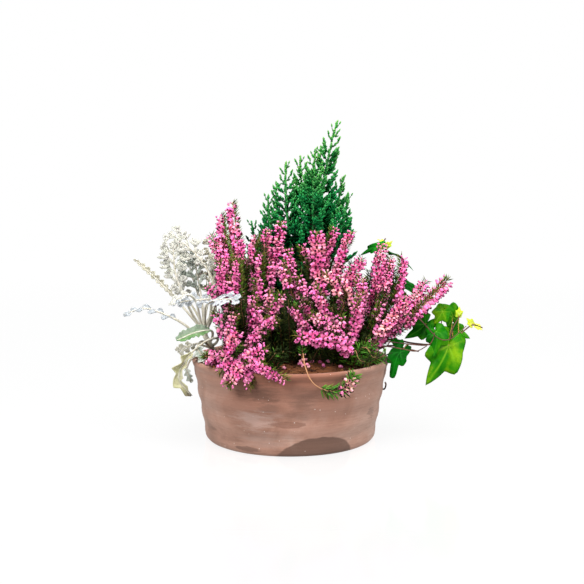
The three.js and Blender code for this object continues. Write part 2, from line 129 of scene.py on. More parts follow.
# Opal acrylic, polished and lit from below: white all through, with a faint mirror on top. To
# the eye it glows more strongly than it lights the object, so that shade stays deep.
acrylic, tree, shader = start_material("opal_acrylic", {
    "Base Color": linear("#505050"), "Roughness": 0.12, "IOR": 1.7,
    "Emission Color": linear("#FFFFFF")})
seen = add_node(tree, "LightPath", {}, {}).outputs["Is Camera Ray"]
glow = add_node(tree, "MapRange", {}, {"Value": seen, "To Min": TABLE_LIGHT, "To Max": TABLE_GLOW})
set_inputs(tree, shader, {"Emission Strength": glow})
table_top = bmesh.new()
bmesh.ops.create_grid(table_top, x_segments=1, y_segments=1, size=TABLE_SIDE / 2)
add_object("table_top", table_top, [acrylic])

# The walls are pure white to the eye, and lit less strongly than they look, so shade stays deep.
world = bpy.data.worlds.new("white_studio")
world.use_nodes = True
seen = add_node(world.node_tree, "LightPath", {}, {}).outputs["Is Camera Ray"]
wall_light = add_node(world.node_tree, "MapRange", {}, {
    "Value": seen, "To Min": WALL_LIGHT, "To Max": 1.0})
set_inputs(world.node_tree, world.node_tree.nodes["Background"], {
    "Color": linear("#FFFFFF"), "Strength": wall_light})
bpy.context.scene.world = world

# Each softbox, turned towards the bowl: its place, its side and its power in watts.
SOFTBOXES = {
    "top_softbox": ((0.1, -0.25, 1.4), 1.1, 28.5),
    "key_softbox": ((-0.75, -1.3, 1.0), 0.5, 20),
    "side_softbox": ((1.2, -0.9, 0.7), 0.7, 11.5),
}
for lamp_name, (place, side, power) in SOFTBOXES.items():
    lamp = bpy.data.lights.new(lamp_name, "AREA")
    lamp.size = side
    lamp.energy = power
    softbox = bpy.data.objects.new(lamp_name, lamp)
    softbox.location = place
    aim = Vector(AIM_PLACE) - Vector(place)
    softbox.rotation_euler = aim.to_track_quat("-Z", "Y").to_euler()
    bpy.context.scene.collection.objects.link(softbox)

lens = bpy.data.cameras.new("camera")
lens.lens = CAMERA_LENS
lens.sensor_width = 36.0
camera = bpy.data.objects.new("camera", lens)
camera.location = CAMERA_PLACE
camera.rotation_euler = (math.radians(90 - CAMERA_DIP), 0, 0)
bpy.context.scene.collection.objects.link(camera)
bpy.context.scene.camera = camera
bpy.context.scene.view_settings.view_transform = "Standard"

# ---------------------------------------------------------------------------------------------
# Bowl
# A bowl thrown on a wheel in iron-rich clay, with a rolled rim and soft throwing rings, brushed
# with a thin grey wash and fired. Three drain holes go through its base.

BOWL_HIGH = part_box("bowl")[1]
RIM_RADIUS = BOWL_HIGH[0] / MM
BOWL_HEIGHT = BOWL_HIGH[2] / MM
CREASE_RADIUS = RIM_RADIUS - 2.6
BASE_RADIUS = RIM_RADIUS - 18
RIM_BAND = 11
WALL = 6.5
FLOOR = 9
DRAIN_RADIUS = 6
DRAIN_CIRCLE = 50
DRAIN_COUNT = 3
BOWL_SIDES = 160
CREASE_HEIGHT = BOWL_HEIGHT - RIM_BAND


def turned(profile, sides):
    """A bmesh spun round the Z axis from pairs of radius and height."""
    bm = bmesh.new()
    corners = [bm.verts.new((radius, 0, height)) for radius, height in profile]
    edges = [bm.edges.new(pair) for pair in zip(corners, corners[1:])]
    bmesh.ops.spin(bm, geom=corners + edges, cent=(0, 0, 0), axis=(0, 0, 1),
                   angle=2 * math.pi, steps=sides, use_merge=True)
    bmesh.ops.remove_doubles(bm, verts=bm.verts, dist=1e-5)
    bmesh.ops.recalc_face_normals(bm, faces=bm.faces)
    return bm


def settle(piece, nodes=()):
    """Tells the frame what a piece rides on, and hides the nodes that it stands for."""
    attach(piece, "root")
    if nodes:
        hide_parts(*nodes)


def inner_radius(height):
    return BASE_RADIUS + (RIM_RADIUS - BASE_RADIUS) * height / BOWL_HEIGHT - WALL


def outer_radius(height):
    """The outer wall: a straight flare with wide throwing rings and the finer marks of fingers."""
    flare = BASE_RADIUS + (CREASE_RADIUS - BASE_RADIUS) * height / CREASE_HEIGHT
    rings = 0.7 * math.sin(2 * math.pi * 3.5 * height / CREASE_HEIGHT)
    marks = 0.22 * math.sin(height * 1.9) * math.sin(height * 0.37)
    return flare + rings + marks


bowl_profile = [(0, 0), (BASE_RADIUS - 3.2, 0), (BASE_RADIUS - 1.2, 0.5), (BASE_RADIUS - 0.3, 1.6)]
bowl_profile += [(outer_radius(z), z) for z in np.linspace(3, CREASE_HEIGHT, 60)]
bowl_profile += [(RIM_RADIUS - 2.2, CREASE_HEIGHT + 1.4), (RIM_RADIUS - 1.4, CREASE_HEIGHT + 2.8),
                 (RIM_RADIUS - 0.7, CREASE_HEIGHT + 4.6), (RIM_RADIUS - 0.2, CREASE_HEIGHT + 6.6)]
bowl_profile += [(RIM_RADIUS - 0.1, BOWL_HEIGHT - 3.2), (RIM_RADIUS - 0.7, BOWL_HEIGHT - 1.6),
                 (RIM_RADIUS - 1.8, BOWL_HEIGHT - 0.5), (RIM_RADIUS - 3.2, BOWL_HEIGHT)]
bowl_profile += [(RIM_RADIUS - 4.6, BOWL_HEIGHT - 0.2), (RIM_RADIUS - 5.9, BOWL_HEIGHT - 1.2),
                 (inner_radius(BOWL_HEIGHT - 3), BOWL_HEIGHT - 3)]
bowl_profile += [(inner_radius(z), z) for z in np.linspace(BOWL_HEIGHT - 8, FLOOR + 6, 12)]
bowl_profile += [(inner_radius(FLOOR) - 3, FLOOR + 1.5), (inner_radius(FLOOR) - 8, FLOOR), (0, FLOOR)]

bowl_mesh = turned(bowl_profile, BOWL_SIDES)
for vert in bowl_mesh.verts:
    # Hand-thrown: the wall wavers by a few tenths of a millimetre.
    waver = noise.noise(Vector((vert.co.x / 70, vert.co.y / 70, vert.co.z / 25))) * 0.5
    reach = math.hypot(vert.co.x, vert.co.y)
    if reach > BASE_RADIUS * 0.9:
        vert.co.xy *= 1 + waver / reach
bmesh.ops.scale(bowl_mesh, vec=(MM, MM, MM), verts=bowl_mesh.verts)

# Iron-rich stoneware clay under a thin grey wash: matt and chalky, streaked level with the wheel,
# paler where the wash gathered, with white lime specks and a damp patch low on the front.
washed_clay, tree, shader = start_material("washed_clay", {
    "Roughness": 0.82, "IOR": 1.5, "Sheen Weight": 0.35, "Sheen Roughness": 0.5,
    "Sheen Tint": linear("#F0DDD2")})
coords = add_node(tree, "TexCoord", {}, {}).outputs["Object"]
level = add_node(tree, "Mapping", {}, {"Vector": coords, "Scale": (17, 17, 85)})
streaks = add_node(tree, "TexNoise", {}, {
    "Vector": level, "Scale": 1.0, "Detail": 6.0, "Roughness": 0.62})
clouds = add_node(tree, "TexNoise", {}, {
    "Vector": coords, "Scale": 16.0, "Detail": 5.0, "Roughness": 0.6, "Distortion": 0.8})
streak_tone = add_node(tree, "ValToRGB", {"stops": [
    (0.30, "#916755"), (0.43, "#A77B68"), (0.56, "#B78D7A"), (0.72, "#C49E8D")]},
    {"Fac": streaks})
cloud_tone = add_node(tree, "ValToRGB", {"stops": [
    (0.32, "#8A6250"), (0.5, "#B38774"), (0.68, "#C7A494")]}, {"Fac": clouds})
clay_tone = add_node(tree, "Mix", {"data_type": "RGBA"}, {0: 0.72, 6: streak_tone, 7: cloud_tone})
# Fine level lines from the brush, in the wash only.
fine_level = add_node(tree, "Mapping", {}, {"Vector": coords, "Scale": (45, 45, 560)})
brush_lines = add_node(tree, "TexNoise", {}, {
    "Vector": fine_level, "Scale": 1.0, "Detail": 4.0, "Roughness": 0.7})
line_share = add_node(tree, "MapRange", {}, {
    "Value": brush_lines, "From Min": 0.5, "From Max": 0.75, "To Max": 0.42})
lined_tone = add_node(tree, "Mix", {"data_type": "RGBA"}, {
    0: line_share, 6: clay_tone, 7: linear("#83604F")})
# The wash is thinner and the clay redder towards the rim, which also stays moist from the peat.
# This darkening is also painted shade of the plants over the front. It fades to the left and
# right, where the sides are painted lighter.
place = add_node(tree, "SeparateXYZ", {}, {"Vector": coords})
wavy_height = add_node(tree, "Math", {"operation": "MULTIPLY_ADD"}, {
    0: clouds, 1: 0.05, 2: place.outputs["Z"]})
rim_share = add_node(tree, "MapRange", {}, {
    "Value": wavy_height, "From Min": 0.050, "From Max": 0.125, "To Max": 0.9})
sideways = add_node(tree, "Math", {"operation": "ABSOLUTE"}, {0: place.outputs["X"]})
shade_fading_sides = add_node(tree, "MapRange", {}, {
    "Value": sideways, "From Min": 0.045, "From Max": 0.105, "To Min": 1.0, "To Max": 0.3})
moist_and_shade_share = add_node(tree, "Math", {"operation": "MULTIPLY"}, {0: rim_share, 1: shade_fading_sides})
moist_and_shaded_rim_tone = add_node(tree, "Mix", {"data_type": "RGBA"}, {
    0: moist_and_shade_share, 6: lined_tone, 7: linear("#824C36")})
# Smears where the wash was wiped while wet, and three dark ones high on the front that are painted
# shadow of the plants over the rim: middle and half size in mm, how softly their edges fade,
# strength and colour.
SMEARS_AND_PAINTED_SHADOWS = [
    ((-30, -104, 20), (45, 40, 12), 0.8, 0.4, "#A58E84"),
    ((-42, -100, 44), (34, 40, 15), 0.6, 0.45, "#C6ACA2"),
    ((72, -88, 19), (20, 30, 10), 0.6, 0.35, "#A08070"),
    # These three, dark and high on the front, are painted shadow of the plants over the rim.
    ((-34, -105, 77), (27, 45, 14), 0.6, 0.65, "#5A3C2E"),
    ((-24, -107, 61), (15, 45, 6), 0.4, 0.4, "#6E5245"),
    ((12, -109, 68), (20, 45, 26), 0.9, 0.55, "#5E4234"),
    ((-2, -108, 40), (21, 45, 4), 0.12, 0.55, "#774F3F"),
    ((-52, -92, 7), (17, 30, 3.5), 0.12, 0.65, "#6E5144"),
    ((-68, -79, 16), (22, 30, 5), 0.4, 0.35, "#7B5848"),
    ((96, -45, 44), (8, 18, 12), 0.15, 0.55, "#7A5F54"),
    ((-93, -45, 22), (7, 16, 3), 0.12, 0.55, "#7B5848"),
    ((62, -90, 78), (26, 40, 12), 0.6, 0.35, "#D0A594"),
    ((60, 95, 50), (26, 40, 12), 0.3, 0.45, "#6B4E42"),
    ((-30, 105, 30), (24, 40, 7), 0.3, 0.45, "#6E5144"),
]
ragged = add_node(tree, "TexNoise", {}, {"Vector": level, "Scale": 2.2, "Detail": 6.0, "Roughness": 0.7})
tone = moist_and_shaded_rim_tone
for middle, half, softness, strength, code in SMEARS_AND_PAINTED_SHADOWS:
    patch_place = add_node(tree, "Mapping", {"vector_type": "TEXTURE"}, {
        "Vector": coords, "Location": [c * MM for c in middle], "Scale": [h * MM for h in half]})
    patch_reach = add_node(tree, "VectorMath", {"operation": "LENGTH"}, {0: patch_place})
    patch_edge = add_node(tree, "Math", {"operation": "MULTIPLY_ADD"}, {
        0: ragged, 1: 2.6, 2: patch_reach})
    patch_share = add_node(tree, "MapRange", {}, {
        "Value": patch_edge, "From Min": 2.3 - softness, "From Max": 2.3,
        "To Min": strength, "To Max": 0.0})
    tone = add_node(tree, "Mix", {"data_type": "RGBA"}, {0: patch_share, 6: tone, 7: linear(code)})
# The damp patch low on the front, in metres.
DAMP_MIDDLE = (0.030, -0.107, -0.002)
DAMP_REACH = (0.0475, 0.060, 0.0245)
DAMP_TILT = -0.1
damp_place = add_node(tree, "Mapping", {"vector_type": "TEXTURE"}, {
    "Vector": coords, "Location": DAMP_MIDDLE, "Rotation": (0, DAMP_TILT, 0), "Scale": DAMP_REACH})
damp_edge = add_node(tree, "TexNoise", {}, {"Vector": coords, "Scale": 60.0, "Detail": 3.0})
damp_reach = add_node(tree, "VectorMath", {"operation": "LENGTH"}, {0: damp_place})
damp_wave = add_node(tree, "Math", {"operation": "MULTIPLY_ADD"}, {0: damp_edge, 1: 0.22, 2: damp_reach})
damp_share = add_node(tree, "MapRange", {}, {
    "Value": damp_wave, "From Min": 1.08, "From Max": 1.14, "To Min": 0.9, "To Max": 0.0})
damped = add_node(tree, "Mix", {"data_type": "RGBA"}, {0: damp_share, 6: tone, 7: linear("#64473A")})
LIME_SPACING = 6  # one place for a speck in every 6 mm, and three of four stay empty
specks = add_node(tree, "TexVoronoi", {}, {"Vector": coords, "Scale": 1000.0 / LIME_SPACING})
speck_size = add_node(tree, "MapRange", {}, {
    "Value": specks, "From Min": 0.05, "From Max": 0.11, "To Min": 1.0, "To Max": 0.0})
speck_kept = add_node(tree, "Math", {"operation": "GREATER_THAN"}, {
    0: add_node(tree, "SeparateColor", {}, {"Color": specks.outputs["Color"]}).outputs[0], 1: 0.75})
speck_share = add_node(tree, "Math", {"operation": "MULTIPLY"}, {0: speck_size, 1: speck_kept})
limed = add_node(tree, "Mix", {"data_type": "RGBA"}, {0: speck_share, 6: damped, 7: linear("#E9E2DA")})
grain = add_node(tree, "TexNoise", {}, {"Vector": coords, "Scale": 900.0, "Detail": 2.0})
relief = add_node(tree, "Math", {"operation": "MULTIPLY_ADD"}, {0: grain, 1: 0.35, 2: streaks})
clay_bump = add_node(tree, "Bump", {}, {"Height": relief, "Strength": 0.35, "Distance": 0.0012})
set_inputs(tree, shader, {"Base Color": limed, "Normal": clay_bump})

bowl = add_object("thrown_bowl", bowl_mesh, [washed_clay])
for k in range(DRAIN_COUNT):
    angle = 2 * math.pi * (k + 0.25) / DRAIN_COUNT
    drain = bmesh.new()
    bmesh.ops.create_cone(drain, cap_ends=True, segments=32, depth=40 * MM,
                          radius1=DRAIN_RADIUS * MM, radius2=DRAIN_RADIUS * MM)
    bmesh.ops.translate(drain, verts=drain.verts, vec=(
        DRAIN_CIRCLE * MM * math.cos(angle), DRAIN_CIRCLE * MM * math.sin(angle), 0))
    cutter = add_object("drain_cutter", drain, [])
    cut = bowl.modifiers.new("drain", "BOOLEAN")
    cut.object = cutter
    cut.solver = "EXACT"
    evaluated = bowl.evaluated_get(bpy.context.evaluated_depsgraph_get())
    drilled = bpy.data.meshes.new_from_object(evaluated)
    bowl.modifiers.clear()
    bowl.data = drilled
    bpy.data.objects.remove(cutter)
settle(bowl, ["bowl"])

# ---------------------------------------------------------------------------------------------
# Peat
# Coarse planting peat pressed in around the roots, with bark crumbs and root fibres on top.

PEAT_EDGE = 95
PEAT_RISE = 6
PEAT_GRID = 80
CRUMB_COUNT = 750
FIBRE_COUNT = 320


def peat_height(x, y):
    share = (x * x + y * y) / inner_radius(PEAT_EDGE) ** 2
    return PEAT_EDGE + PEAT_RISE * (1 - share)


def add_marks(bm):
    """Layers for the marks of each corner: its place from foot to tip, and its place across."""
    layers = bm.verts.layers.float
    return layers.new("place"), layers.new("across")


def form_of(bm):
    """The corners, triangles and marks of a small bmesh, ready to be copied."""
    place, across = (bm.verts.layers.float[name] for name in ("place", "across"))
    bmesh.ops.triangulate(bm, faces=bm.faces)
    bm.verts.ensure_lookup_table()
    spots = np.array([v.co for v in bm.verts])
    corners = np.array([[v.index for v in face.verts] for face in bm.faces])
    marks = np.array([(v[place], v[across]) for v in bm.verts])
    bm.free()
    return {"spots": spots, "corners": corners, "marks": marks}


def small_turned(profile, sides):
    """A small turned form, marked with its place from foot to tip and its place around."""
    bm = turned(profile, sides)
    bm.verts.index_update()
    place, across = add_marks(bm)
    length = max(height for _, height in profile)
    for v in bm.verts:
        v[place] = v.co.z / length
        v[across] = math.atan2(v.co.y, v.co.x) / (2 * math.pi) + 0.5
    return form_of(bm)


def unit(vectors):
    return vectors / np.maximum(np.linalg.norm(vectors, axis=-1, keepdims=True), 1e-9)


def aimed(directions, rolls, sizes):
    """Matrices that turn +Z to each direction, after a roll round it and a scaling."""
    up = unit(np.asarray(directions, float))
    helper = np.where(np.abs(up[:, 2:3]) < 0.9, [[0.0, 0.0, 1.0]], [[1.0, 0.0, 0.0]])
    first = unit(np.cross(helper, up))
    second = np.cross(up, first)
    cos, sin = np.cos(rolls)[:, None], np.sin(rolls)[:, None]
    sides = first * cos + second * sin, second * cos - first * sin
    return np.stack([*sides, up], axis=-1) * np.asarray(sizes)[:, None, None]


class Growth:
    """One mesh grown from many copies of small forms. A copy's finish says which material it has,
    and the map OFBake holds its place from foot to tip and its tint."""

    def __init__(self, finishes):
        self.finishes = finishes
        self.spots, self.corners, self.maps, self.slots = [], [], [], []
        self.count = 0

    def add(self, form, finish, spots, turns, tints):
        copies, own = len(spots), len(form["spots"])
        if copies == 0:
            return
        index = list(self.finishes).index(finish)
        placed = np.einsum("cij,nj->cni", turns, form["spots"]) + np.asarray(spots)[:, None]
        starts = self.count + own * np.arange(copies)
        corners = (form["corners"][None] + starts[:, None, None]).reshape(-1, 3)
        along = np.broadcast_to(form["marks"][:, 0], (copies, own))
        tint = 0.04 + 0.88 * np.clip(tints, 0, 1)[:, None] + 0.04 * form["marks"][:, 1]
        band = (index + tint) / len(self.finishes)
        self.spots.append(placed.reshape(-1, 3))
        self.corners.append(corners)
        self.maps.append(np.stack([0.02 + 0.96 * along, band], axis=-1).reshape(-1, 2))
        self.slots.append(np.full(len(corners), index))
        self.count += copies * own

    def add_one(self, form, finish, tint=0.5):
        self.add(form, finish, np.zeros((1, 3)), np.eye(3)[None], np.array([tint]))

    def piece(self, name, slot, nodes=()):
        """Makes the mesh of all the copies a piece of its own."""
        spots = np.concatenate(self.spots) * MM
        corners = np.concatenate(self.corners)
        mesh = bpy.data.meshes.new(name)
        mesh.from_pydata(spots.tolist(), [], corners.tolist())
        layer = mesh.uv_layers.new(name="OFBake")
        layer.data.foreach_set("uv", np.concatenate(self.maps)[corners.ravel()].ravel())
        mesh.polygons.foreach_set("material_index", np.concatenate(self.slots))
        settle(link_mesh(name, mesh, self.finishes.values()), nodes)


def tinted_finishes(recipes):
    """The finishes of a Growth, from each one's name, colours from foot to tip, the same at full
    tint, and settings. Each reads its own band of the map."""
    finishes = {}
    for index, (key, (name, plain, tinged, inputs)) in enumerate(recipes.items()):
        finishes[key], tree, shader = start_material(name, inputs)
        marks = add_node(tree, "UVMap", {"uv_map": "OFBake"}, {})
        split = add_node(tree, "SeparateXYZ", {}, {"Vector": marks})
        tint = add_node(tree, "Math", {"operation": "MULTIPLY_ADD"}, {
            0: split.outputs["Y"], 1: float(len(recipes)), 2: float(-index)})
        tones = [add_node(tree, "ValToRGB", {"stops": stops}, {"Fac": split.outputs["X"]})
                 for stops in (plain, tinged)]
        mixed = add_node(tree, "Mix", {"data_type": "RGBA"}, {0: tint, 6: tones[0], 7: tones[1]})
        set_inputs(tree, shader, {"Base Color": mixed})
    return finishes


# Milled sphagnum peat: dull, crumbly and soft brown, with darker bark crumbs and paler fibres.
peat_finishes = tinted_finishes({
    "peat": ("milled_peat", [(0, "#361B0A"), (1, "#74421E")], [(0, "#74401C"), (1, "#9A5A2C")],
             {"Roughness": 1.0}),
    "crumb": ("bark_crumbs", [(0, "#241208"), (1, "#4A2812")], [(0, "#8A4C20"), (1, "#A8642E")],
              {"Roughness": 0.95}),
    "fibre": ("root_fibre", [(0, "#5A3216"), (1, "#7A4822")], [(0, "#B0804A"), (1, "#9A6634")],
              {"Roughness": 0.9}),
})

rng = np.random.default_rng(11)
edge = inner_radius(PEAT_EDGE) - 0.3
peat_top = bmesh.new()
bmesh.ops.create_grid(peat_top, x_segments=PEAT_GRID, y_segments=PEAT_GRID, size=1.0)
place, across = add_marks(peat_top)
for v in peat_top.verts:
    x = edge * v.co.x * math.sqrt(1 - v.co.y ** 2 / 2)
    y = edge * v.co.y * math.sqrt(1 - v.co.x ** 2 / 2)
    spot = Vector((x, y, 0))
    lumps = noise.fractal(spot / 9, 1.0, 2.0, 5) * 1.6 + noise.noise(spot / 24) * 2.0
    calm = min(1.0, (edge - math.hypot(x, y)) / 6 + 0.25)
    v.co = (x, y, peat_height(x, y) - 1.0 + lumps * calm)
    v[place] = 0.5 + 0.3 * lumps
    v[across] = noise.noise(spot / 3) * 0.5 + 0.5
rim_edges = [e for e in peat_top.edges if e.is_boundary]
skirt = bmesh.ops.extrude_edge_only(peat_top, edges=rim_edges)["geom"]
for v in [g for g in skirt if isinstance(g, bmesh.types.BMVert)]:
    v.co.z = BOWL_HEIGHT / 2
    v.co.xy *= inner_radius(BOWL_HEIGHT / 2) / inner_radius(PEAT_EDGE)
bmesh.ops.holes_fill(peat_top, edges=[e for e in peat_top.edges if e.is_boundary], sides=0)
bmesh.ops.recalc_face_normals(peat_top, faces=peat_top.faces)
peat = Growth(peat_finishes)
peat_form = form_of(peat_top)
peat.add_one(peat_form, "peat", 0.3)

crumb_form = small_turned([(0, -0.6), (0.9, -0.2), (0.8, 0.5), (0, 0.8)], 5)
crumb_form["marks"][:, 0] = np.clip(crumb_form["marks"][:, 0], 0, 1)
fibre_form = small_turned([(0, 0), (0.35, 1), (0.3, 8), (0, 10)], 3)


def on_peat(count, reach=1.0):
    """Random spots on the peat."""
    radius = edge * reach * np.sqrt(rng.random(count))
    turn = rng.random(count) * 2 * math.pi
    x, y = radius * np.cos(turn), radius * np.sin(turn)
    return np.stack([x, y, peat_height(x, y)], axis=-1)


crumb_spots = on_peat(CRUMB_COUNT, 0.99)
crumb_ways = unit(rng.normal(size=(CRUMB_COUNT, 3)))
crumb_turns = aimed(crumb_ways, rng.random(CRUMB_COUNT) * 6, 0.7 + 2.0 * rng.random(CRUMB_COUNT) ** 3)
peat.add(crumb_form, "crumb", crumb_spots - [0, 0, 0.3], crumb_turns, rng.random(CRUMB_COUNT) ** 2)
fibre_ways = unit(rng.normal(size=(FIBRE_COUNT, 3)) * [1, 1, 0.12] + [0, 0, 0.03])
fibre_turns = aimed(fibre_ways, rng.random(FIBRE_COUNT) * 6, 0.5 + 0.8 * rng.random(FIBRE_COUNT))
peat.add(fibre_form, "fibre", on_peat(FIBRE_COUNT, 0.93) + [0, 0, 0.5], fibre_turns,
         rng.random(FIBRE_COUNT))
peat.piece("planting_peat", "peat", ["peat"])

# ---------------------------------------------------------------------------------------------
# Winter heath
# Two plants of winter heath. Thin woody shoots fan out from each crown, clothed in whorls of short
# dark needles, and end in spikes of pink bells with the dark anthers showing at the mouths.

STEM_FOOT = 1.1
STEM_TIP = 0.6
NODE_PITCH = 1.9  # between whorls of needles
BELL_PITCH = 3.4  # between whorls of bells
BELLS_AROUND = 7  # in a whorl
BELL_LENGTH = 6.4
NEEDLE_LENGTH = 7.5
LEFT_CROWN = (-50, -30, 98)
RIGHT_CROWN = (54, -28, 98)
SHOOT_COUNT = 25
LEFT_SHOOTS = 12  # the first ones, of the left plant
FULL_REACH = 7.6  # half the breadth of a spike whose bells are of full size
SPRIG_REACH = 7.2
INNER_REACH = 7.0
TRAILING_FOOT = (16, -62, 98)
STOUT_SHOOTS = {1: 1.2, 2: 1.15, 3: 1.1, 14: 1.1, 23: 1.15, 24: 1.3}  # with fuller spikes


def middle_line(node, foot, sides):
    """Reads a bent solid of the frame: its rings' middles from foot to tip, the way from each to
    its widest corner, and how far that is. `foot` is a place nearer the foot than the tip."""
    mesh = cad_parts[node].data
    spots = np.empty(len(mesh.vertices) * 3)
    mesh.vertices.foreach_get("co", spots)
    spots, index = np.unique(np.round(spots.reshape(-1, 3) / MM, 3), axis=0, return_inverse=True)
    index = index.ravel()
    beside = [set() for _ in spots]
    for face in mesh.polygons:
        own = [index[k] for k in face.vertices]
        for a in own:
            beside[a].update(own)

    def rings_from(end):
        rings, seen, ring = [], {end}, {end}
        while ring:
            rings.append(spots[sorted(ring)])
            ring = set().union(*(beside[k] for k in ring)) - seen
            seen |= ring
        return rings[::-1]

    ends = [k for k in range(len(spots)) if len(beside[k]) == sides + 1]
    rings = max(map(rings_from, ends), key=lambda r: (len(r), math.dist(r[-1][0], foot)))
    middles = np.array([r.mean(axis=0) for r in rings])
    ways = [r - m for r, m in zip(rings, middles)]
    widest = np.array([way[np.argmax(np.linalg.norm(way, axis=1))] for way in ways])
    return middles, widest, np.linalg.norm(widest, axis=1)


def smooth_line(points, steps):
    """Evenly spaced points on a smooth curve through the given ones."""
    points = np.asarray(points, float)
    ends = np.vstack([2 * points[0] - points[1], points, 2 * points[-1] - points[-2]])
    curve = []
    for a, b, c, d in zip(ends, ends[1:], ends[2:], ends[3:]):
        for t in np.linspace(0, 1, 12, endpoint=False):
            curve.append(0.5 * (2 * b + (c - a) * t + (2 * a - 5 * b + 4 * c - d) * t ** 2
                                + (3 * b - a - 3 * c + d) * t ** 3))
    curve = np.array(curve + [points[-1]])
    run = np.concatenate([[0], np.cumsum(np.linalg.norm(np.diff(curve, axis=0), axis=1))])
    even = np.linspace(0, run[-1], steps + 1)
    return np.stack([np.interp(even, run, curve[:, k]) for k in range(3)], axis=-1)


def length_of(line):
    return np.linalg.norm(np.diff(line, axis=0), axis=1).sum()


def nearest(line, spot):
    """The point of a line that is nearest to a spot."""
    return line[np.argmin(np.linalg.norm(line - spot, axis=1))]


def at_share(line, share):
    """Points and directions at shares of an evenly spaced line."""
    share = np.clip(np.atleast_1d(share), 0, 1)
    steps = np.arange(len(line)) / (len(line) - 1)
    ways = np.gradient(line, axis=0)
    spots = np.stack([np.interp(share, steps, line[:, k]) for k in range(3)], axis=-1)
    return spots, unit(np.stack([np.interp(share, steps, ways[:, k]) for k in range(3)], axis=-1))


def stem_form(line, foot_radius, tip_radius, sides, rings):
    """A tapering stem: a grid rolled up round a line and closed at both ends."""
    bm = bmesh.new()
    bmesh.ops.create_grid(bm, x_segments=sides, y_segments=rings, size=0.5)
    place, across = add_marks(bm)
    middles, ways = at_share(line, np.linspace(0, 1, rings + 1))
    normals = [unit(np.cross(ways[0], [0.31, 0.95, 0.1]))]
    for way in ways[1:]:
        normals.append(unit(normals[-1] - way * np.dot(normals[-1], way)))
    for v in bm.verts:
        share, turn = v.co.y + 0.5, (v.co.x + 0.5) * 2 * math.pi
        ring = round(share * rings)
        radius = foot_radius + (tip_radius - foot_radius) * share
        side = np.cross(ways[ring], normals[ring])
        v.co = middles[ring] + radius * (math.cos(turn) * normals[ring] + math.sin(turn) * side)
        v[place] = share
        v[across] = 0.5 + 0.5 * math.cos(turn)
    bmesh.ops.remove_doubles(bm, verts=bm.verts, dist=1e-4)
    bmesh.ops.holes_fill(bm, edges=[e for e in bm.edges if e.is_boundary], sides=0)
    bmesh.ops.recalc_face_normals(bm, faces=bm.faces)
    return form_of(bm)


# Woody heath stems: thin reddish brown bark that turns olive towards the tip.
# Heath needles: stiff, dark and slightly glossy, olive and brown when old, bright green when young.
# Their plain colour is darkened almost to black, partly as painted shade of the plant's depths.
# Heath bells: thin waxy corollas, paler at the foot and in the sun; old ones fade to cream.
# Heath anthers: dry, almost black purple.
heath_finishes = tinted_finishes({
    "stem": ("heath_bark", [(0, "#1E140A"), (0.6, "#402C18"), (1, "#5C5222")],
             [(0, "#A8764E"), (1, "#D09A74")], {"Roughness": 0.8, "Specular IOR Level": 0.2}),
    "needle": ("heath_needle", [(0, "#020A02"), (1, "#0F300A")], [(0, "#5A5018"), (1, "#8C8E34")],
               {"Roughness": 0.6, "Specular IOR Level": 0.15}),
    "bell": ("heath_bell", [(0, "#E675B4"), (0.35, "#FA7CC9"), (0.8, "#E94CAA"), (1, "#FC9ED9")],
             [(0, "#FBDDB0"), (0.5, "#FDC4B8"), (1, "#FBB6C4")],
             {"Roughness": 0.55, "Specular IOR Level": 0.25}),
    "anther": ("heath_anther", [(0, "#88164E"), (1, "#3C0A1C")], [(0, "#6A1838"), (1, "#3A0E18")],
               {"Roughness": 0.8, "Specular IOR Level": 0.1}),
    "young": ("heath_young_needle", [(0, "#14480A"), (1, "#357E18")],
              [(0, "#2A6414"), (1, "#74A830")], {"Roughness": 0.55, "Specular IOR Level": 0.25}),
})

BELL_SIDES = 5
bell_form = small_turned([(0, 0), (2.0, 1.1), (2.45, 3.2), (1.45, 5.8), (1.7, BELL_LENGTH)],
                         BELL_SIDES)
anther_form = small_turned([(1.15, 5.6), (0.9, 7.3), (0, 7.6)], BELL_SIDES)
bud_form = small_turned([(0, 0), (1.5, 1.1), (1.1, 3.2), (0, 4.0)], 5)
needle_form = small_turned([(0, 0), (0.52, 2.6), (0, NEEDLE_LENGTH)], 3)
blade_form = small_turned([(0, 0), (0.72, 3.4), (0, NEEDLE_LENGTH + 2)], 3)
stout_form = small_turned([(0, 0), (0.85, 3.5), (0.7, 8.5), (0, 12)], 4)


def whorls(line, first, last, pitch, each):
    """Spots, stem directions and turns about the stem of regularly staggered whorls."""
    nodes = max(1, int((last - first) * length_of(line) / pitch))
    share = np.repeat(np.linspace(first, last, nodes), each)
    turn = np.tile(np.arange(each) * 2 * math.pi / each, nodes)
    turn = turn + np.repeat(np.arange(nodes) * math.pi / each, each)
    spots, ways = at_share(line, share)
    return share, spots, ways, turn


def around(ways, front, turn):
    """Directions square to the stem, `turn` radians round it from the front."""
    ahead = unit(front - ways * np.sum(ways * front, axis=1, keepdims=True))
    side = np.cross(ways, ahead)
    return ahead * np.cos(turn)[:, None] + side * np.sin(turn)[:, None]


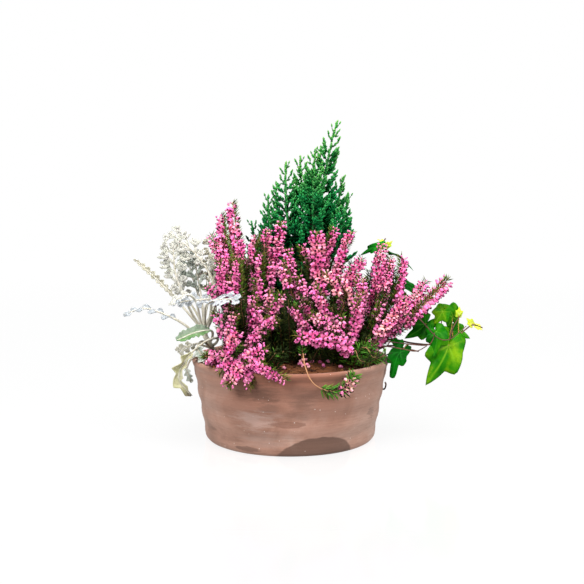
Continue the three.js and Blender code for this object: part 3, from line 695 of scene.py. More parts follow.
def add_needles(growth, line, first, last, rng, each=4, front=None, youth=0.15, form=needle_form,
                fresh=0.0, pitch=NODE_PITCH):
    """Whorled needles, a share of them fresh; with a front given, only on the stem's back."""
    _, spots, ways, turn = whorls(line, first, last, pitch, each)
    turn = turn + rng.normal(0, 0.2, len(turn))
    if front is not None:
        kept = np.cos(turn) < 0.1
        spots, ways, turn = spots[kept], ways[kept], turn[kept]
    out = around(ways, np.array([0.2, -1.0, 0.1]) if front is None else front, turn)
    rise = rng.uniform(0.45, 1.0, len(turn))[:, None]
    turns = aimed(out + ways * rise, turn, rng.uniform(0.75, 1.1, len(turn)))
    tints = youth * rng.random(len(turn)) + 0.5 * (rng.random(len(turn)) < 0.05)
    new = rng.random(len(turn)) < fresh
    growth.add(form, "needle", spots[~new] + out[~new] * 0.5, turns[~new], tints[~new])
    growth.add(form, "young", spots[new] + out[new] * 0.5, turns[new], rng.random(new.sum()))


def bowed_line(foot, tip, rise):
    """A line from foot to tip that bows upwards half way."""
    return smooth_line([foot, np.mean([foot, tip], axis=0) + [0, 0, rise], tip], 30)


def add_leafy(growth, line, radius, rings, tint, first, rng, youth, fresh, each=4,
              form=blade_form, pitch=NODE_PITCH):
    """A thin stem with no flowers, in needles from the share `first` of its line to its tip."""
    growth.add_one(stem_form(line, radius, 0.4, 3, rings), "stem", tint)
    add_needles(growth, line, first, 1.0, rng, each, None, youth, form, fresh, pitch)


def add_spike(growth, line, first, reach, front, fade, rng):
    """Bells from the share `first` of a line to its tip, turned to the front of the spike."""
    share, spots, ways, turn = whorls(line, first, 0.985, BELL_PITCH, BELLS_AROUND)
    turn = turn + rng.normal(0, 0.2, len(turn))
    kept = (np.cos(turn) > -0.15) & (rng.random(len(turn)) > 0.06)
    share, spots, ways, turn = share[kept], spots[kept], ways[kept], turn[kept]
    near_tip = np.clip((share - first) / (1 - first), 0, 1)
    out = around(ways, front, turn)
    hang = rng.uniform(0.15, 0.75)
    droop = np.where(near_tip > 0.92, -0.9, hang - 0.4 * near_tip) + rng.normal(0, 0.2, len(turn))
    aim = unit(out - ways * droop[:, None])
    size = (1.06 - 0.30 * near_tip ** 3) * rng.uniform(0.82, 1.14, len(turn)) * reach / FULL_REACH
    reach = reach * rng.uniform(1.02, 1.26, len(turn))
    gap = reach - 1.02 * BELL_LENGTH * size * np.sum(aim * out, axis=1)
    foot = spots + out * gap[:, None]
    age = 0.08 + 0.62 * np.sin(7 * near_tip + rng.uniform(0, 6)) ** 4 * rng.random() ** 1.6
    tints = np.clip(rng.normal(age, 0.09), 0, 1) + fade * rng.random(len(turn))
    pale = rng.random(len(turn)) < 0.04
    tints = np.where(pale, rng.uniform(0.5, 0.9, len(turn)), tints)
    turns = aimed(aim, rng.random(len(turn)) * 6, size)
    open_bell = near_tip < 0.93
    for form, finish, chosen in ((bell_form, "bell", open_bell), (anther_form, "anther", open_bell),
                                 (bud_form, "bell", ~open_bell)):
        growth.add(form, finish, foot[chosen], turns[chosen], tints[chosen])


def spike_front(line, rng):
    """Bells face the light: away from the plant's middle, a little to the front and by chance."""
    spots, _ = at_share(line, 0.8)
    away = unit(np.array([spots[0][0] * 0.6, -70.0, 0.0]))
    swing = rng.choice([-1, 1]) * rng.uniform(0.3, 1.35)
    return np.array([away[0] * math.cos(swing) - away[1] * math.sin(swing),
                     away[0] * math.sin(swing) + away[1] * math.cos(swing), 0.12])


def add_shoot(growth, line, first, reach, fade, rng):
    """A whole heath shoot: stem, needles up to the spike and behind it, and the spike."""
    front = spike_front(line, rng)
    growth.add_one(stem_form(line, STEM_FOOT, STEM_TIP, 5, 18), "stem", rng.random() * 0.6)
    add_needles(growth, line, 0.10, first + 0.04, rng, 5, fresh=0.1)
    add_needles(growth, line, first, 0.99, rng, 7, front, 0.9, blade_form, 0.12)
    add_spike(growth, line, first, reach, front, fade, rng)


shoot_lines = []
for number in range(1, SHOOT_COUNT + 1):
    node = f"heath_shoot_{number:02d}"
    rng = np.random.default_rng(100 + number)
    crown = LEFT_CROWN if number <= LEFT_SHOOTS else RIGHT_CROWN
    middles, _, reaches = middle_line(node, crown, 6)
    line = smooth_line(middles, 80)
    reach = reaches.max() * STOUT_SHOOTS.get(number, 1.0)
    bare = np.argmax(reaches > 2.0)
    first = length_of(smooth_line(middles[:bare + 1], 40)) / length_of(line)
    shoot_lines.append((line, first, crown))
    shoot = Growth(heath_finishes)
    add_shoot(shoot, line, first, reach, 0.10, rng)
    shoot.piece(f"{node}_in_flower", "heath_shoot", [node])

# Short flowering sprigs that branch from the shoots beside them: low end and tip of each spike,
# and how far the faded ones have gone to cream.
SIDE_SPRIGS = [
    ((-31, 5, 209), (-27, 15, 240)), ((-89, -36, 180), (-102, -40, 195)),
    ((-82, -62, 142), (-89, -70, 166)), ((-71, -55, 148), (-75, -62, 173)),
    ((-41, -35, 179), (-41, -35, 202)), ((-45, -58, 152), (-39, -62, 173)),
    ((-54, -108, 109), (-70, -128, 92)), ((-25, -55, 159), (-10, -60, 187)),
    ((20, -3, 222), (14, 5, 242)), ((-2, -30, 197), (-10, -32, 223)),
    ((19, -62, 149), (1, -75, 175)), ((26, -48, 157), (15, -48, 179)),
    ((121, 10, 185), (125, 18, 222)), ((100, -45, 144), (110, -48, 175)),
    ((124, -32, 137), (152, -30, 155)), ((43, -70, 139), (38, -75, 158)),
    ((61, -62, 144), (61, -66, 161)), ((-66, -100, 112), (-82, -112, 104)),
    ((-60, -104, 110), (-73, -124, 90)), ((-42, -104, 108), (-47, -124, 88)),
    ((-50, -98, 116), (-58, -118, 104)), ((-38, -20, 186), (-36, -22, 232)),
    ((-28, -12, 178), (-26, -10, 222)), ((-48, -52, 136), (-44, -57, 184)),
    ((-24, -42, 146), (-25, -42, 190)), ((-34, -60, 132), (-30, -66, 160)),
]
FADED_SPRIGS = [((72, -42, 178), (60, -45, 207), 1.5), ((58, -50, 186), (42, -50, 214), 1.5),
                ((110, -64, 140), (141, -52, 180), 1.0)]
LEAFY_SHOOTS = 2  # leafy side shoots on each flowering one
INNER_SPIKES = {"left": 15, "right": 9}  # flowering shoots between the outer ones
YOUNG_STEMS = 58  # leafy stems that have not flowered, in each plant
MINGLED_STEMS = 72


def branch_to(low, tip):
    """A branch line from the nearest bare stem below a spike up to the spike's tip."""
    low, tip = np.array(low, float), np.array(tip, float)
    stems = np.vstack([line[8:int(80 * first)] for line, first, _ in shoot_lines])
    below = stems[stems[:, 2] < max(low[2] - 14, 106)]
    origin = nearest(below, low - [0, 0, 20])
    rise = low - (tip - low) * 0.45
    points = [origin, (origin + rise) / 2 + [0, 0, -2], rise, low, tip]
    line = smooth_line(points, 60)
    return line, 1 - 1.04 * math.dist(low, tip) / length_of(line)


sprigs = Growth(heath_finishes)
rng = np.random.default_rng(41)
for low, tip, fade in [(*sprig, 0.1) for sprig in SIDE_SPRIGS] + FADED_SPRIGS:
    line, first = branch_to(low, tip)
    add_shoot(sprigs, line, first, SPRIG_REACH, fade, rng)
sprigs.piece("heath_side_sprigs", "heath_shoot")


def leafy_line(line, first, rng):
    """A side shoot with no flowers that leaves a stem outwards and turns up."""
    share = rng.uniform(0.16, 0.8) * first
    spot, way = at_share(line, share)
    out = rng.normal(size=3) * [1.0, 1.0, 0.25]
    out[2] = abs(out[2])
    reach = rng.uniform(22, 46)
    side = unit(way[0] * 0.9 + unit(out) * 0.8)
    points = [spot[0], spot[0] + side * reach * 0.5, spot[0] + (side + [0, 0, 0.35]) * reach * 0.9]
    return smooth_line(points, 24)


def between(lines, rng, near, low, high):
    """A stem that grows between a shoot and one of the `near` nearest to it, and stays shorter."""
    line_a, first_a, _ = lines[rng.integers(len(lines))]
    order = np.argsort([np.linalg.norm(line_a[-1] - other[-1]) for other, _, _ in lines])
    line_b, first_b, _ = lines[order[1 + rng.integers(near)]]
    weight = rng.uniform(0.25, 0.75)
    reach = rng.uniform(low, high)
    evened = [at_share(line, np.linspace(0, reach, 40))[0] for line in (line_a, line_b)]
    first = (first_a * (1 - weight) + first_b * weight) / reach
    return smooth_line(evened[0] * (1 - weight) + evened[1] * weight, 80), first


for crown, side in ((LEFT_CROWN, "left"), (RIGHT_CROWN, "right")):
    own_lines = [entry for entry in shoot_lines if entry[2] == crown]
    inner = Growth(heath_finishes)
    rng = np.random.default_rng(63)
    for _ in range(INNER_SPIKES[side]):
        line, first = between(own_lines, rng, 4, 0.82, 0.96)
        add_shoot(inner, line, min(first, 0.6), INNER_REACH, 0.15, rng)
    inner.piece(f"{side}_heath_inner_shoots", "heath_shoot")

    foliage = Growth(heath_finishes)
    rng = np.random.default_rng(57)
    for k in range(YOUNG_STEMS):
        young, _ = between(own_lines if k % 4 else shoot_lines, rng, 9, 0.35, 0.86)
        add_leafy(foliage, young, 0.9, 8, rng.random() * 0.25, 0.06, rng, 0.10, 0.04)
    for line, first, _ in own_lines:
        for _ in range(LEAFY_SHOOTS):
            leafy = leafy_line(line, first, rng)
            add_leafy(foliage, leafy, 0.7, 6, rng.random() * 0.5, 0.08, rng, 0.15, 0.15)
    foliage.piece(f"{side}_heath_foliage", "heath_shoot")

# Where the two plants meet, their leafy stems mingle low in the middle of the bowl. A few taller
# ones stand behind the spikes on the right.
BACK_STEMS = [((88, 4, 97), (138, 20, 198)), ((92, 0, 97), (132, 16, 178)),
              ((80, 0, 97), (102, 8, 208)), ((76, -4, 97), (95, 4, 194))]
mingled = Growth(heath_finishes)
rng = np.random.default_rng(91)
for _ in range(MINGLED_STEMS):
    x, y = rng.uniform(-44, 52), rng.uniform(-62, 34)
    foot = np.array([x * 0.7, y * 0.8, peat_height(x, y) - 1])
    height = rng.uniform(28, 94) * (1 - (x - 4) ** 2 / 6000)
    lean = rng.normal(0, 0.18, 2)
    tip = foot + [x * 0.3 + lean[0] * height, y * 0.2 + lean[1] * height, height]
    add_leafy(mingled, bowed_line(foot, tip, 3), 0.8, 6, rng.random() * 0.1, 0.1, rng, 0.03, 0.01)
for foot, tip in BACK_STEMS:
    add_leafy(mingled, bowed_line(foot, tip, 8), 0.8, 6, 0.05, 0.35, rng, 0.10, 0.12, each=5)
mingled.piece("mingled_heath_foliage", "heath_shoot")

# The shoot that hangs over the front of the rim: bare and brown, with a green tuft at its end.
rng = np.random.default_rng(77)
trailing_line = smooth_line(middle_line("heath_trailing_shoot", TRAILING_FOOT, 6)[0], 90)
trailing = Growth(heath_finishes)
trailing.add_one(stem_form(trailing_line, 0.9, 0.6, 6, 40), "stem", 0.9)
add_needles(trailing, trailing_line, 0.71, 0.9, rng, 4, None, 0.1, stout_form, 0.75)
add_needles(trailing, trailing_line, 0.95, 1.0, rng, 9, None, 0.1, stout_form, 0.75)
add_spike(trailing, trailing_line, 0.87, 7.4, np.array([0.1, -1.0, -0.2]), 1.8, rng)
trailing.piece("heath_trailing_shoot_in_flower", "heath_shoot", ["heath_trailing_shoot"])

# A short sprig in bud stands where it leaves the peat, and leafy tufts grow by the rim.
BUD_SPRIG = [(20, -82, 99), (17, -90, 108), (15, -92, 116), (14, -91, 130)]
RIM_TUFTS = [(76, -62, 26), (84, -52, 30), (92, -38, 28), (70, -58, 30), (88, -58, 20),
             (96, -20, 24), (-20, -88, 20), (-28, -84, 26), (-80, -60, 20)]
tufts = Growth(heath_finishes)
rng = np.random.default_rng(79)
bud_line = smooth_line(BUD_SPRIG, 30)
tufts.add_one(stem_form(bud_line, 0.7, 0.4, 5, 10), "stem", 0.4)
add_needles(tufts, bud_line, 0.66, 1.0, rng, 5, None, 0.1, blade_form, 0.7)
add_spike(tufts, bud_line[:22], 0.55, 5.0, np.array([0.0, -1.0, -0.2]), 1.4, rng)
for x, y, height in RIM_TUFTS:
    fresh = 0.75 if x > 0 else 0.1
    foot = np.array([x, y, peat_height(x, y) - 1])
    for _ in range(3):
        lean = rng.normal(0, 0.35, 2) + [0.25, -0.35]
        tip = foot + height * np.array([*lean, 1.0])
        add_leafy(tufts, bowed_line(foot, tip, 3), 0.7, 6, rng.random() * 0.5, 0.2, rng, 0.0,
                  fresh, form=stout_form, pitch=2 * NODE_PITCH)
tufts.piece("heath_tufts_by_the_rim", "heath_shoot")

# Bells that have dropped on the peat, and two bare shoots that arch over it.
FALLEN_BELLS = [(28, -40), (36, -41), (40, -57), (48, -36), (54, -9), (50, 1), (14, -53), (65, 5),
                (22, -68), (-8, -74), (60, -60), (-30, 70), (34, 92), (80, 34), (-72, 42)]
BARE_SHOOTS = [
    [(84, -58, 99), (83, -74, 122), (90, -90, 127), (97, -95, 117), (102, -96, 119)],
    [(70, -52, 99), (73, -76, 118), (77, -90, 124), (81, -94, 114), (92, -95, 110)],
]
litter = Growth(heath_finishes)
rng = np.random.default_rng(83)
spots = np.array([(x, y, peat_height(x, y) + 1.8) for x, y in FALLEN_BELLS])
ways = unit(rng.normal(size=(len(spots), 3)) * [1, 1, 0.2])
turns = aimed(ways, rng.random(len(spots)) * 6, rng.uniform(0.85, 1.05, len(spots)))
litter.add(bell_form, "bell", spots - ways * 2, turns, rng.uniform(0.1, 0.6, len(spots)))
for points in BARE_SHOOTS:
    line = smooth_line(points, 40)
    litter.add_one(stem_form(line, 0.55, 0.35, 5, 24), "stem", 0.6)
    add_needles(litter, line, 0.8, 1.0, rng, 4, None, 0.1, blade_form)
litter.piece("heath_litter_on_peat", "heath_shoot")

# ---------------------------------------------------------------------------------------------
# False cypress
# A young dwarf false cypress. Its thin trunk carries steep sprays, each one a feather of forking
# twigs that are wrapped in small blunt scale leaves, blue green outside. Within, many twigs take a
# darker finish that is painted shade.

TRUNK_FOOT = (22, 55, 90)
SPRAY_FOOT = (26, 56, 150)
SPRAY_COUNT = 8
INNER_SPRAYS = 8
TAPER = 0.27  # how much a spray widens below its tip, as a share of the way down
SLIM_TAPERS = {1: 0.20}  # the same for the sprays that end in a slim tip
SCALE_PITCH = 2.9  # between pairs of scales along a twig
FRESH_FROM = 250  # above here the tips are fresh and yellow green,
FRESH_OVER = 90  # fully so this much higher
SHADED_BELOW = 245  # below here more than half the branchlets take the darker inner finish, painted shade

# Cypress bark: thin, stringy and grey brown.
# Cypress scales: waxy, pressed to the twig, fresh yellow green where they are still growing.
# Inner cypress scales: the same scales darkened, painted shade of the tree's dense middle.
cypress_finishes = tinted_finishes({
    "bark": ("cypress_bark", [(0, "#4A3628"), (1, "#2C4A22")], [(0, "#2C4420"), (1, "#1C6A34")],
             {"Roughness": 0.85}),
    "scale": ("cypress_scale", [(0, "#00260C"), (0.5, "#00592A"), (1, "#008448")],
              [(0, "#148C3C"), (0.6, "#3CA042"), (1, "#80B256")],
              {"Roughness": 0.65, "Specular IOR Level": 0.02}),
    "inner": ("cypress_scale_painted_shade", [(0, "#010F05"), (1, "#02381A")],
              [(0, "#012208"), (1, "#04502A")], {"Roughness": 0.7, "Specular IOR Level": 0.02}),
})
scale_leaf = small_turned([(0, 0), (1.75, 3.2), (0, 6.2)], 3)


def twig_form(length, forks):
    """A twig of paired scale leaves with smaller twigs forking from it."""
    spots, corners, marks, count = [], [], [], 0
    arms = [((0, 0, 0), (0, 0, 1), length, 1.0)]
    arms += [((0, 0, length * share), (side * 0.62, 0, 0.85), length * (0.66 - 0.5 * share), 0.85)
             for share, side in forks]
    for origin, way, reach, size in arms:
        nodes = max(2, int(reach / SCALE_PITCH))
        for k in range(nodes):
            for turn in (k * math.pi / 2, k * math.pi / 2 + math.pi):
                way_up = unit(np.array([way]))
                out = around(way_up, np.array([0.05, 1.0, 0.0]), np.array([turn]))
                lean = 0.27 if k < nodes - 1 else 0.12
                turns = aimed(way_up + out * lean, [0.0], [size])[0]
                foot = np.array(origin) + np.array(way) * reach * k / nodes
                spots.append(scale_leaf["spots"] @ turns.T + foot)
                corners.append(scale_leaf["corners"] + count)
                share = np.linalg.norm(spots[-1], axis=1) / length
                marks.append(np.stack([np.clip(share, 0, 1), scale_leaf["marks"][:, 1]], axis=-1))
                count += len(scale_leaf["spots"])
    return {"spots": np.concatenate(spots), "corners": np.concatenate(corners),
            "marks": np.concatenate(marks)}


forked_twig = twig_form(10, [(0.25, 1), (0.45, -1)])
plain_twig = twig_form(6.5, [])


def add_spray(growth, line, side, wide, rng, taper=TAPER, finish="scale"):
    """A feathery spray: branchlets on both sides of the axis, each one set with twigs."""
    length = length_of(line)
    growth.add_one(stem_form(line, 1.2, 0.7, 5, 20), "bark", 0.9)
    share, hand = 0.05, 1
    while (1 - share) * length > 5:
        if rng.random() < 0.3 * share:
            share += 2.5 / length
        spot, way = at_share(line, share)
        left = (1 - share) * length
        out = around(way, side, np.array([rng.normal(0, 0.4)]))[0] * hand
        full = 1.9 * wide * min(1.0, 0.6 + 1.6 * share) * rng.uniform(0.35, 1.2)
        reach = min(full, 3.5 + taper * left)
        tip = spot[0] + out * reach * 0.75 + way[0] * reach * rng.uniform(0.75, 1.05)
        knee = spot[0] + out * reach * 0.45 + way[0] * reach * 0.35
        branchlet = smooth_line([spot[0], knee, tip], 16)
        growth.add_one(stem_form(branchlet, 0.8, 0.5, 3, 3), "bark", 0.95)
        twigs = max(2, int(length_of(branchlet) / 2.6))
        at = np.linspace(0.15, 0.98, twigs)
        spots, ways = at_share(branchlet, at)
        hands = np.where(np.arange(twigs) % 2 == 0, 1.0, -1.0)
        hands[-1] = 0.0
        lean = around(ways, out, np.full(twigs, math.pi / 2)) * 0.6 + rng.normal(0, 0.15, (twigs, 3))
        aim = unit(ways + lean * hands[:, None] + rng.normal(0, 0.08, (twigs, 3)) + [0, 0, 0.2])
        scale = rng.uniform(0.75, 1.05, twigs) * min(1.0, 0.55 + left / 110)
        turns = aimed(aim, rng.normal(0, 0.4, twigs), scale)
        high = np.clip((spots[:, 2] - FRESH_FROM) / FRESH_OVER, 0, 1)
        young = 0.04 + high * (0.6 * share ** 2 + 0.4 * at * share) + rng.normal(0, 0.06, twigs)
        big = (at < 0.7) & (left > 35)
        # Many branchlets low inside the tree take the darker inner finish: painted shade.
        inside = spot[0][2] < SHADED_BELOW and rng.random() < 0.55
        own = "inner" if inside else finish
        growth.add(forked_twig, own, spots[big], turns[big], young[big] - 0.05)
        growth.add(plain_twig, own, spots[~big], turns[~big], young[~big])
        share += rng.uniform(0.8, 1.2) * (2.5 + 4.6 * share ** 2) / length
        hand = -hand
    # The axis itself is wrapped in scales up to its tip.
    at = np.arange(0.04, 1 - 4.0 / length, 2.4 / length)
    spots, ways = at_share(line, at)
    aim = unit(ways + rng.normal(0, 0.12 + 0.2 * (1 - at[:, None]), (len(at), 3)))
    turns = aimed(aim, rng.random(len(at)) * 6, rng.uniform(0.7, 0.9, len(at)))
    high = np.clip((spots[:, 2] - FRESH_FROM) / FRESH_OVER, 0, 1)
    growth.add(plain_twig, finish, spots, turns, 0.1 + 0.8 * high * at ** 2)


trunk_line = smooth_line(middle_line("cypress_trunk", TRUNK_FOOT, 6)[0], 60)
trunk = Growth(cypress_finishes)
trunk.add_one(stem_form(trunk_line, 4.6, 1.8, 10, 40), "bark", 0.2)
trunk.piece("cypress_trunk_bark", "cypress_bark", ["cypress_trunk"])
for number in range(1, SPRAY_COUNT + 1):
    node = f"cypress_spray_{number}"
    rng = np.random.default_rng(200 + number)
    middles, widest, reaches = middle_line(node, SPRAY_FOOT, 4)
    broadest = 2 + np.argmax(reaches[2:])
    wide = reaches[broadest]
    line = smooth_line(np.vstack([[nearest(trunk_line, middles[1])], middles[2:]]), 80)
    spray = Growth(cypress_finishes)
    add_spray(spray, line, widest[broadest] / wide, wide, rng, SLIM_TAPERS.get(number, TAPER))
    spray.piece(f"{node}_foliage", "cypress_foliage", [node])

# Short sprays all round the trunk that fill the tree's dark middle, in the darker inner finish that
# is painted shade.
inner_sprays = Growth(cypress_finishes)
rng = np.random.default_rng(230)
for k in range(INNER_SPRAYS):
    share = 0.10 + 0.5 * k / INNER_SPRAYS
    turn = 2.4 * k
    out = np.array([math.cos(turn), math.sin(turn), 0.0])
    foot = at_share(trunk_line, share)[0][0]
    height = 78 - 40 * share
    points = [foot, foot + out * 10 + [0, 0, 0.4 * height], foot + out * 19 + [0, 0, height]]
    spray_line = smooth_line(points, 40)
    add_spray(inner_sprays, spray_line, np.cross(out, [0, 0, 1]), 9, rng, finish="inner")

# Low sprays that lean out to the left: each one's tip, half way point, breadth and finish. The
# inner finish is painted shade.
LEFT_SPRAYS = [
    ((-30, 54, 290), (-16, 54, 225), 12, "scale"), ((-38, 54, 266), (-20, 54, 205), 12, "scale"),
    ((-20, 50, 282), (-8, 50, 215), 12, "scale"), ((-4, 62, 305), (0, 62, 225), 13, "inner"),
    ((10, 60, 278), (14, 60, 215), 12, "inner"), ((-24, 60, 238), (-10, 60, 190), 12, "inner"),
]
for tip, middle, breadth, finish in LEFT_SPRAYS:
    foot = at_share(trunk_line, 0.1)[0][0]
    spray_line = smooth_line([foot, middle, tip], 40)
    add_spray(inner_sprays, spray_line, [1.0, 0.1, 0.0], breadth, rng, finish=finish)
inner_sprays.piece("cypress_inner_sprays", "cypress_foliage")

# ---------------------------------------------------------------------------------------------
# Dusty miller
# A short woody stem with long-stalked leaves that are cut to the midrib into lobes with blunt
# teeth. A dense white felt covers stalk and blade; the two lowest leaves are old and thin in felt.

LOBE_PITCH = 13.5  # between lobes along one side of a midrib
FELT_THICKNESS = 0.75
RIB_FOOT = 1.9
RIB_TIP = 0.9


def mottled(tree, scale, detail, stops):
    """Soft patches of colour: the coordinates, the noise that they follow and the tone."""
    coords = add_node(tree, "TexCoord", {}, {}).outputs["Object"]
    patches = add_node(tree, "TexNoise", {}, {"Vector": coords, "Scale": scale, "Detail": detail})
    return coords, patches, add_node(tree, "ValToRGB", {"stops": stops}, {"Fac": patches})


# Dusty miller felt: matt white hairs over a grey green leaf, thinner in fine spots. A copy in cooler,
# greener tones for leaves in the shade is painted shade.
# A leaf's `edge` is the colour that it takes on towards one side of the blade, and `end` that
# towards its tip, both read from the leaf's flat map.
def felted_material(name, tones, hollow, edge=None, end=None):
    material, tree, shader = start_material(name, {
        "Roughness": 1.0, "Sheen Weight": 0.25, "Sheen Roughness": 0.6,
        "Subsurface Weight": 0.5, "Subsurface Radius": (1, 1, 1), "Subsurface Scale": 0.0025})
    coords, patches, tone = mottled(tree, 110.0, 4.0, tones)
    fuzz = add_node(tree, "TexNoise", {}, {"Vector": coords, "Scale": 650.0, "Detail": 3.0})
    thin = add_node(tree, "MapRange", {}, {
        "Value": fuzz, "From Min": 0.56, "From Max": 0.75, "To Max": 0.45})
    mixed = add_node(tree, "Mix", {"data_type": "RGBA"}, {0: thin, 6: tone, 7: linear(hollow)})
    flat = add_node(tree, "UVMap", {"uv_map": "OFBake"}, {})
    split = add_node(tree, "SeparateXYZ", {}, {"Vector": flat})
    for axis, code, low, high in (("Y", edge, 0.46, 0.56), ("X", end, 0.86, 0.95)):
        if code:
            wavy = add_node(tree, "Math", {"operation": "MULTIPLY_ADD"}, {
                0: patches, 1: 0.12, 2: split.outputs[axis]})
            share = add_node(tree, "MapRange", {}, {
                "Value": wavy, "From Min": low + 0.06, "From Max": high + 0.06, "To Max": 0.85})
            mixed = add_node(tree, "Mix", {"data_type": "RGBA"}, {0: share, 6: mixed, 7: linear(code)})
    bump = add_node(tree, "Bump", {}, {"Height": fuzz, "Strength": 0.5, "Distance": 0.0006})
    set_inputs(tree, shader, {"Base Color": mixed, "Normal": bump})
    return material


white_felt = felted_material(
    "dusty_miller_felt", [(0.3, "#A4A598"), (0.5, "#C1C0B4"), (0.7, "#D0CEC4")], "#9CA297")
blue_felt = felted_material(
    "dusty_miller_upper_felt", [(0.3, "#949B9F"), (0.5, "#AEB4B9"), (0.7, "#C2C7CA")], "#8C989A")
dull_felt = felted_material(
    "dusty_miller_old_felt", [(0.3, "#878D92"), (0.5, "#A0A6AA"), (0.7, "#B3B8BC")], "#808A8A")
grey_felt = felted_material(
    "dusty_miller_under_felt", [(0.3, "#96947E"), (0.5, "#B6B29E"), (0.7, "#CAC7B8")], "#8C9078")
# Felt for leaves in the shade, cooler and greener: painted shade.
shade_felt = felted_material(
    "dusty_miller_felt_painted_shade", [(0.3, "#A6B3A4"), (0.5, "#C2CABE"), (0.7, "#D4D8CF")], "#96A596")
thin_felt = felted_material(
    "dusty_miller_thin_felt", [(0.3, "#40762E"), (0.5, "#688E54"), (0.72, "#96AA86")], "#3C7A2A",
    edge="#8E9C8A")
yellow_felt = felted_material(
    "dusty_miller_yellow_felt", [(0.3, "#AEAE80"), (0.5, "#CCC9A2"), (0.72, "#DAD7BC")], "#868C58",
    end="#5C4C34")
# Dusty miller stalk: round, creamy and felted.
stalk_felt = felted_material(
    "dusty_miller_stalk", [(0.3, "#BFB9A2"), (0.5, "#D8D2C0"), (0.7, "#E6E1D4")], "#A4A882")


def blade_frame(middles, widest, start):
    """The smooth line of a leaf, with its side directions carried along it."""
    line = smooth_line(middles[start:], 60)
    runs = np.concatenate([[0], np.cumsum(np.linalg.norm(np.diff(middles[start:], axis=0), axis=1))])
    sides = unit(widest[start:])
    for k in range(1, len(sides)):
        if np.dot(sides[k], sides[k - 1]) < 0:
            sides[k] = -sides[k]
    sides[-1] = sides[-2]
    shares = runs / runs[-1]
    steps = np.linspace(0, 1, 61)
    carried = np.stack([np.interp(steps, shares, sides[:, k]) for k in range(3)], axis=-1)
    return line, unit(carried)


def on_blade(line, sides, share, across, lift):
    """The point `across` from the midrib and `lift` above the blade, at a share of its length."""
    inside = min(max(share, 0.0), 1.0)
    spot, way = at_share(line, inside)
    place = inside * 60
    k = min(int(place), 59)
    side = unit(sides[k] * (k + 1 - place) + sides[k + 1] * (place - k))
    side = unit(side - way[0] * np.dot(side, way[0]))
    normal = np.cross(side, way[0])
    if normal[2] - normal[1] * 0.6 < 0:
        normal = -normal
    beyond = (share - inside) * length_of(line)
    return spot[0] + way[0] * beyond + side * across + normal * lift


def add_finger(bm, line, sides, foot, heading, reach, widths, rise, curl, steps=(3, 6)):
    """One finger of a lobe, a narrow sheet with a round end. `foot` is its place along the blade,
    across it and above it, and `heading` its angle from the midrib."""
    length = length_of(line)
    made = bmesh.ops.create_grid(bm, x_segments=steps[0], y_segments=steps[1], size=1.0)
    for v in made["verts"]:
        s, t = v.co.x, v.co.y * 0.5 + 0.5
        round_end = math.sqrt(max(0.03, 1 - (max(0.0, t - 0.72) / 0.28) ** 2))
        wide = s * (widths[0] + (widths[1] - widths[0]) * t) * round_end
        along = math.cos(heading) * reach * t - math.sin(heading) * wide
        out = math.sin(heading) * reach * t + math.cos(heading) * wide
        lift = foot[2] + reach * (rise * t + curl * t * t) + 0.5 * s * s
        v.co = on_blade(line, sides, foot[0] + along / length, foot[1] + out, lift)


def add_lobe(bm, line, sides, share, heading, reach, rng, plump=False):
    """One lobe: a finger with two pairs of shorter fingers spread from it like the toes of a foot,
    or a single plump finger."""
    rise, curl = rng.uniform(-0.1, 0.45 if plump else 0.25), rng.uniform(-0.3, 0.1)
    length = length_of(line)
    breadth = 2.1 if plump else min(max(reach / 10, 0.6), 1.35)
    add_finger(bm, line, sides, (share, 0, 0), heading, reach,
               (1.2 * breadth, 1.9 * breadth), rise, curl)
    for place, size in () if plump else ((0.50, 0.52), (0.80, 0.30)):
        foot = (share + math.cos(heading) * reach * place / length, math.sin(heading) * reach * place,
                reach * (rise * place + curl * place * place))
        for hand in (-1, 1):
            spread = hand * rng.uniform(0.5, 0.8)
            add_finger(bm, line, sides, foot, heading + spread, reach * size * rng.uniform(0.8, 1.25),
                       (1.0 * breadth, 1.6 * breadth), rise + curl * place + rng.uniform(-0.15, 0.15),
                       rng.uniform(-0.2, 0.1), (2, 4))


def add_broad_blade(bm, line, sides, wide, teeth, right, rng):
    """An old leaf's blade: one broad sheet, bluntly toothed, or with few teeth deeply pointed."""
    phase = rng.uniform(0, 6)
    bmesh.ops.create_grid(bm, x_segments=12, y_segments=60, size=1.0)
    for v in bm.verts:
        s, t = v.co.x, v.co.y * 0.5 + 0.5
        place = teeth * t + (0.45 if s > 0 else 0.0)
        if teeth > 4:
            deep = 0.09 if teeth < 9 else 0.45
            tooth = 1 + deep * math.sin(2 * math.pi * place) + 0.05 * math.sin(41 * t + phase)
        else:
            along = place % 1.0
            tooth = 0.42 + 0.78 * min(along / 0.72, (1 - along) / 0.28) ** 1.3
        edge = wide * math.sin(math.pi * (0.06 + 0.90 * t)) ** 0.6 * tooth * (right if s > 0 else 1)
        crease = math.sin(4 * math.pi * t + phase) + 0.45 * math.sin(29 * t + 4 * s)
        lift = 0.35 * wide * s * s + 0.16 * wide * s * crease
        v.co = on_blade(line, sides, t, s * edge, lift)


